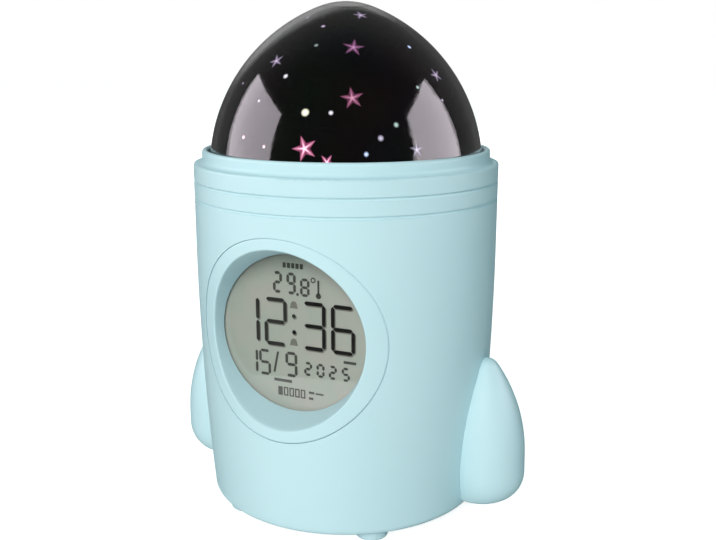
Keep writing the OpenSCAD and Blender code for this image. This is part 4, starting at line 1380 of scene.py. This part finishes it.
@dataclass
class Studio:
    """Camera, pale floor, surroundings, soft lights and reflector boards."""

    eye: tuple[float, float, float] = (139.10, -293.40, 157.68)
    pitch_deg: float = 13.132
    turn_deg: float = 24.649
    lens: float = 46.847
    sensor: float = 36.0
    ambient: tuple[float, float, float] = (0.3, 0.41, 0.42)
    floor_half: float = 4.0
    floor_lift: float = 0.77
    zones: tuple[Zone, ...] = (
        Zone(0.0, 0.0, -0.2, 0.6, 0.02, 0.065),
        Zone(10.0, 26.0, 0.9, 0.98, 0.0, 0.22),
        Zone(0.0, -13.132, 0.945, 0.97, 0.0, 1.0),
    )
    keys: tuple[KeyLight, ...] = (
        KeyLight("key_light", 4.0, 25.0, 1.6, 0.9, 8.2, "#FFF4F0"),
        KeyLight("back_light", 205.0, 20.0, 1.6, 0.9, 3.0),
    )
    boards: tuple[ReflectorBoard, ...] = (
        ReflectorBoard("board_left", ((-97, 32.5), (-39, 32), (-39, -4), (-88, -6)), 1.8, "#FFF6FF"),
        ReflectorBoard("board_right", ((130, 39.5), (85, 31.5), (82, 0), (133, -4)), 2.2, "#FFF6FF"),
        ReflectorBoard("board_front", ((-50, -20), (25, -20), (25, -48), (-50, -48)), 0.8),
    )

    def camera(self) -> None:
        """Makes the camera and sets it as the scene's."""
        data = bpy.data.cameras.new("camera")
        data.lens, data.sensor_width, data.sensor_fit = self.lens, self.sensor, "HORIZONTAL"
        holder = link("camera", data)
        holder.location = [c * MM for c in self.eye]
        holder.rotation_euler = np.radians([90 - self.pitch_deg, 0, self.turn_deg])
        bpy.context.scene.camera = holder

    def mirrored(self, tree: NodeTree) -> NodeSocket:
        """Builds what gloss and glass show: the sum of the zones' light.

        Args:
            tree: the world's node tree.

        Returns:
            The socket of that sum.
        """
        place = add_node(tree, "ShaderNodeTexCoord").outputs["Generated"]
        total = None
        for zone in self.zones:
            middle = direction(180 + self.turn_deg + zone.left_deg, zone.rise_deg)
            along = add_node(tree, "ShaderNodeVectorMath", {0: place, 1: middle}, operation="DOT_PRODUCT")
            ends = {"From Min": zone.start, "From Max": zone.end, "To Min": zone.low, "To Max": zone.high}
            grow = {"Value": along.outputs["Value"], **ends}
            grown = add_node(tree, "ShaderNodeMapRange", grow, interpolation_type="SMOOTHSTEP")
            light = grown.outputs["Result"]
            if total is not None:
                light = add_node(tree, "ShaderNodeMath", {0: total, 1: light}).outputs["Value"]
            total = light
        return total

    def world(self) -> None:
        """White for the camera, an even, slightly cool grey for light, and the zones for gloss and glass.

        The zones make a dim grey, darkest before the clock, a paler patch high behind it and a little to
        the left, and straight behind it the white backdrop.
        """
        world = bpy.data.worlds.new("studio")
        world.use_nodes = True
        tree = world.node_tree
        tree.nodes.clear()
        path = add_node(tree, "ShaderNodeLightPath")
        rays = {0: path.outputs["Is Glossy Ray"], 1: path.outputs["Is Transmission Ray"]}
        shiny = add_node(tree, "ShaderNodeMath", rays, operation="MAXIMUM").outputs["Value"]
        light = {"Factor": shiny, 6: (*self.ambient, 1.0), 7: self.mirrored(tree)}
        lit = add_node(tree, "ShaderNodeMix", light, data_type="RGBA").outputs[2]
        sight = {"Factor": path.outputs["Is Camera Ray"], 6: lit, 7: WHITE}
        seen = add_node(tree, "ShaderNodeMix", sight, data_type="RGBA").outputs[2]
        shade = add_node(tree, "ShaderNodeBackground", {"Color": seen})
        add_node(tree, "ShaderNodeOutputWorld", {"Surface": shade.outputs["Background"]})
        bpy.context.scene.world = world

    def floor(self) -> None:
        """A plain pale floor that is white where it is lit and keeps the clock's shadow."""
        half = self.floor_half
        corners = np.insert(bar(-half, -half, half, half), 2, 0, axis=1)
        stage_sheet("floor", corners, StagePaper("white_paper", self.floor_lift), "glossy", "transmission")

    def build(self) -> None:
        """Sets the whole studio."""
        bpy.context.scene.view_settings.view_transform = "Standard"
        self.camera()
        self.world()
        self.floor()
        for light in (*self.keys, *self.boards):
            light.build()
        LOG.info("studio: camera, floor, world, %d soft lights, %d boards", len(self.keys), len(self.boards))


def main() -> None:
    """Builds the scene in order."""
    logging.basicConfig(level=logging.INFO, format="%(name)s %(message)s")
    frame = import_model()
    Studio().build()
    dress_frame(frame)
    Fins().build()
    Display().build()
    StarDome().build()
    RearMarks().build()


if __name__ == "__main__":
    main()
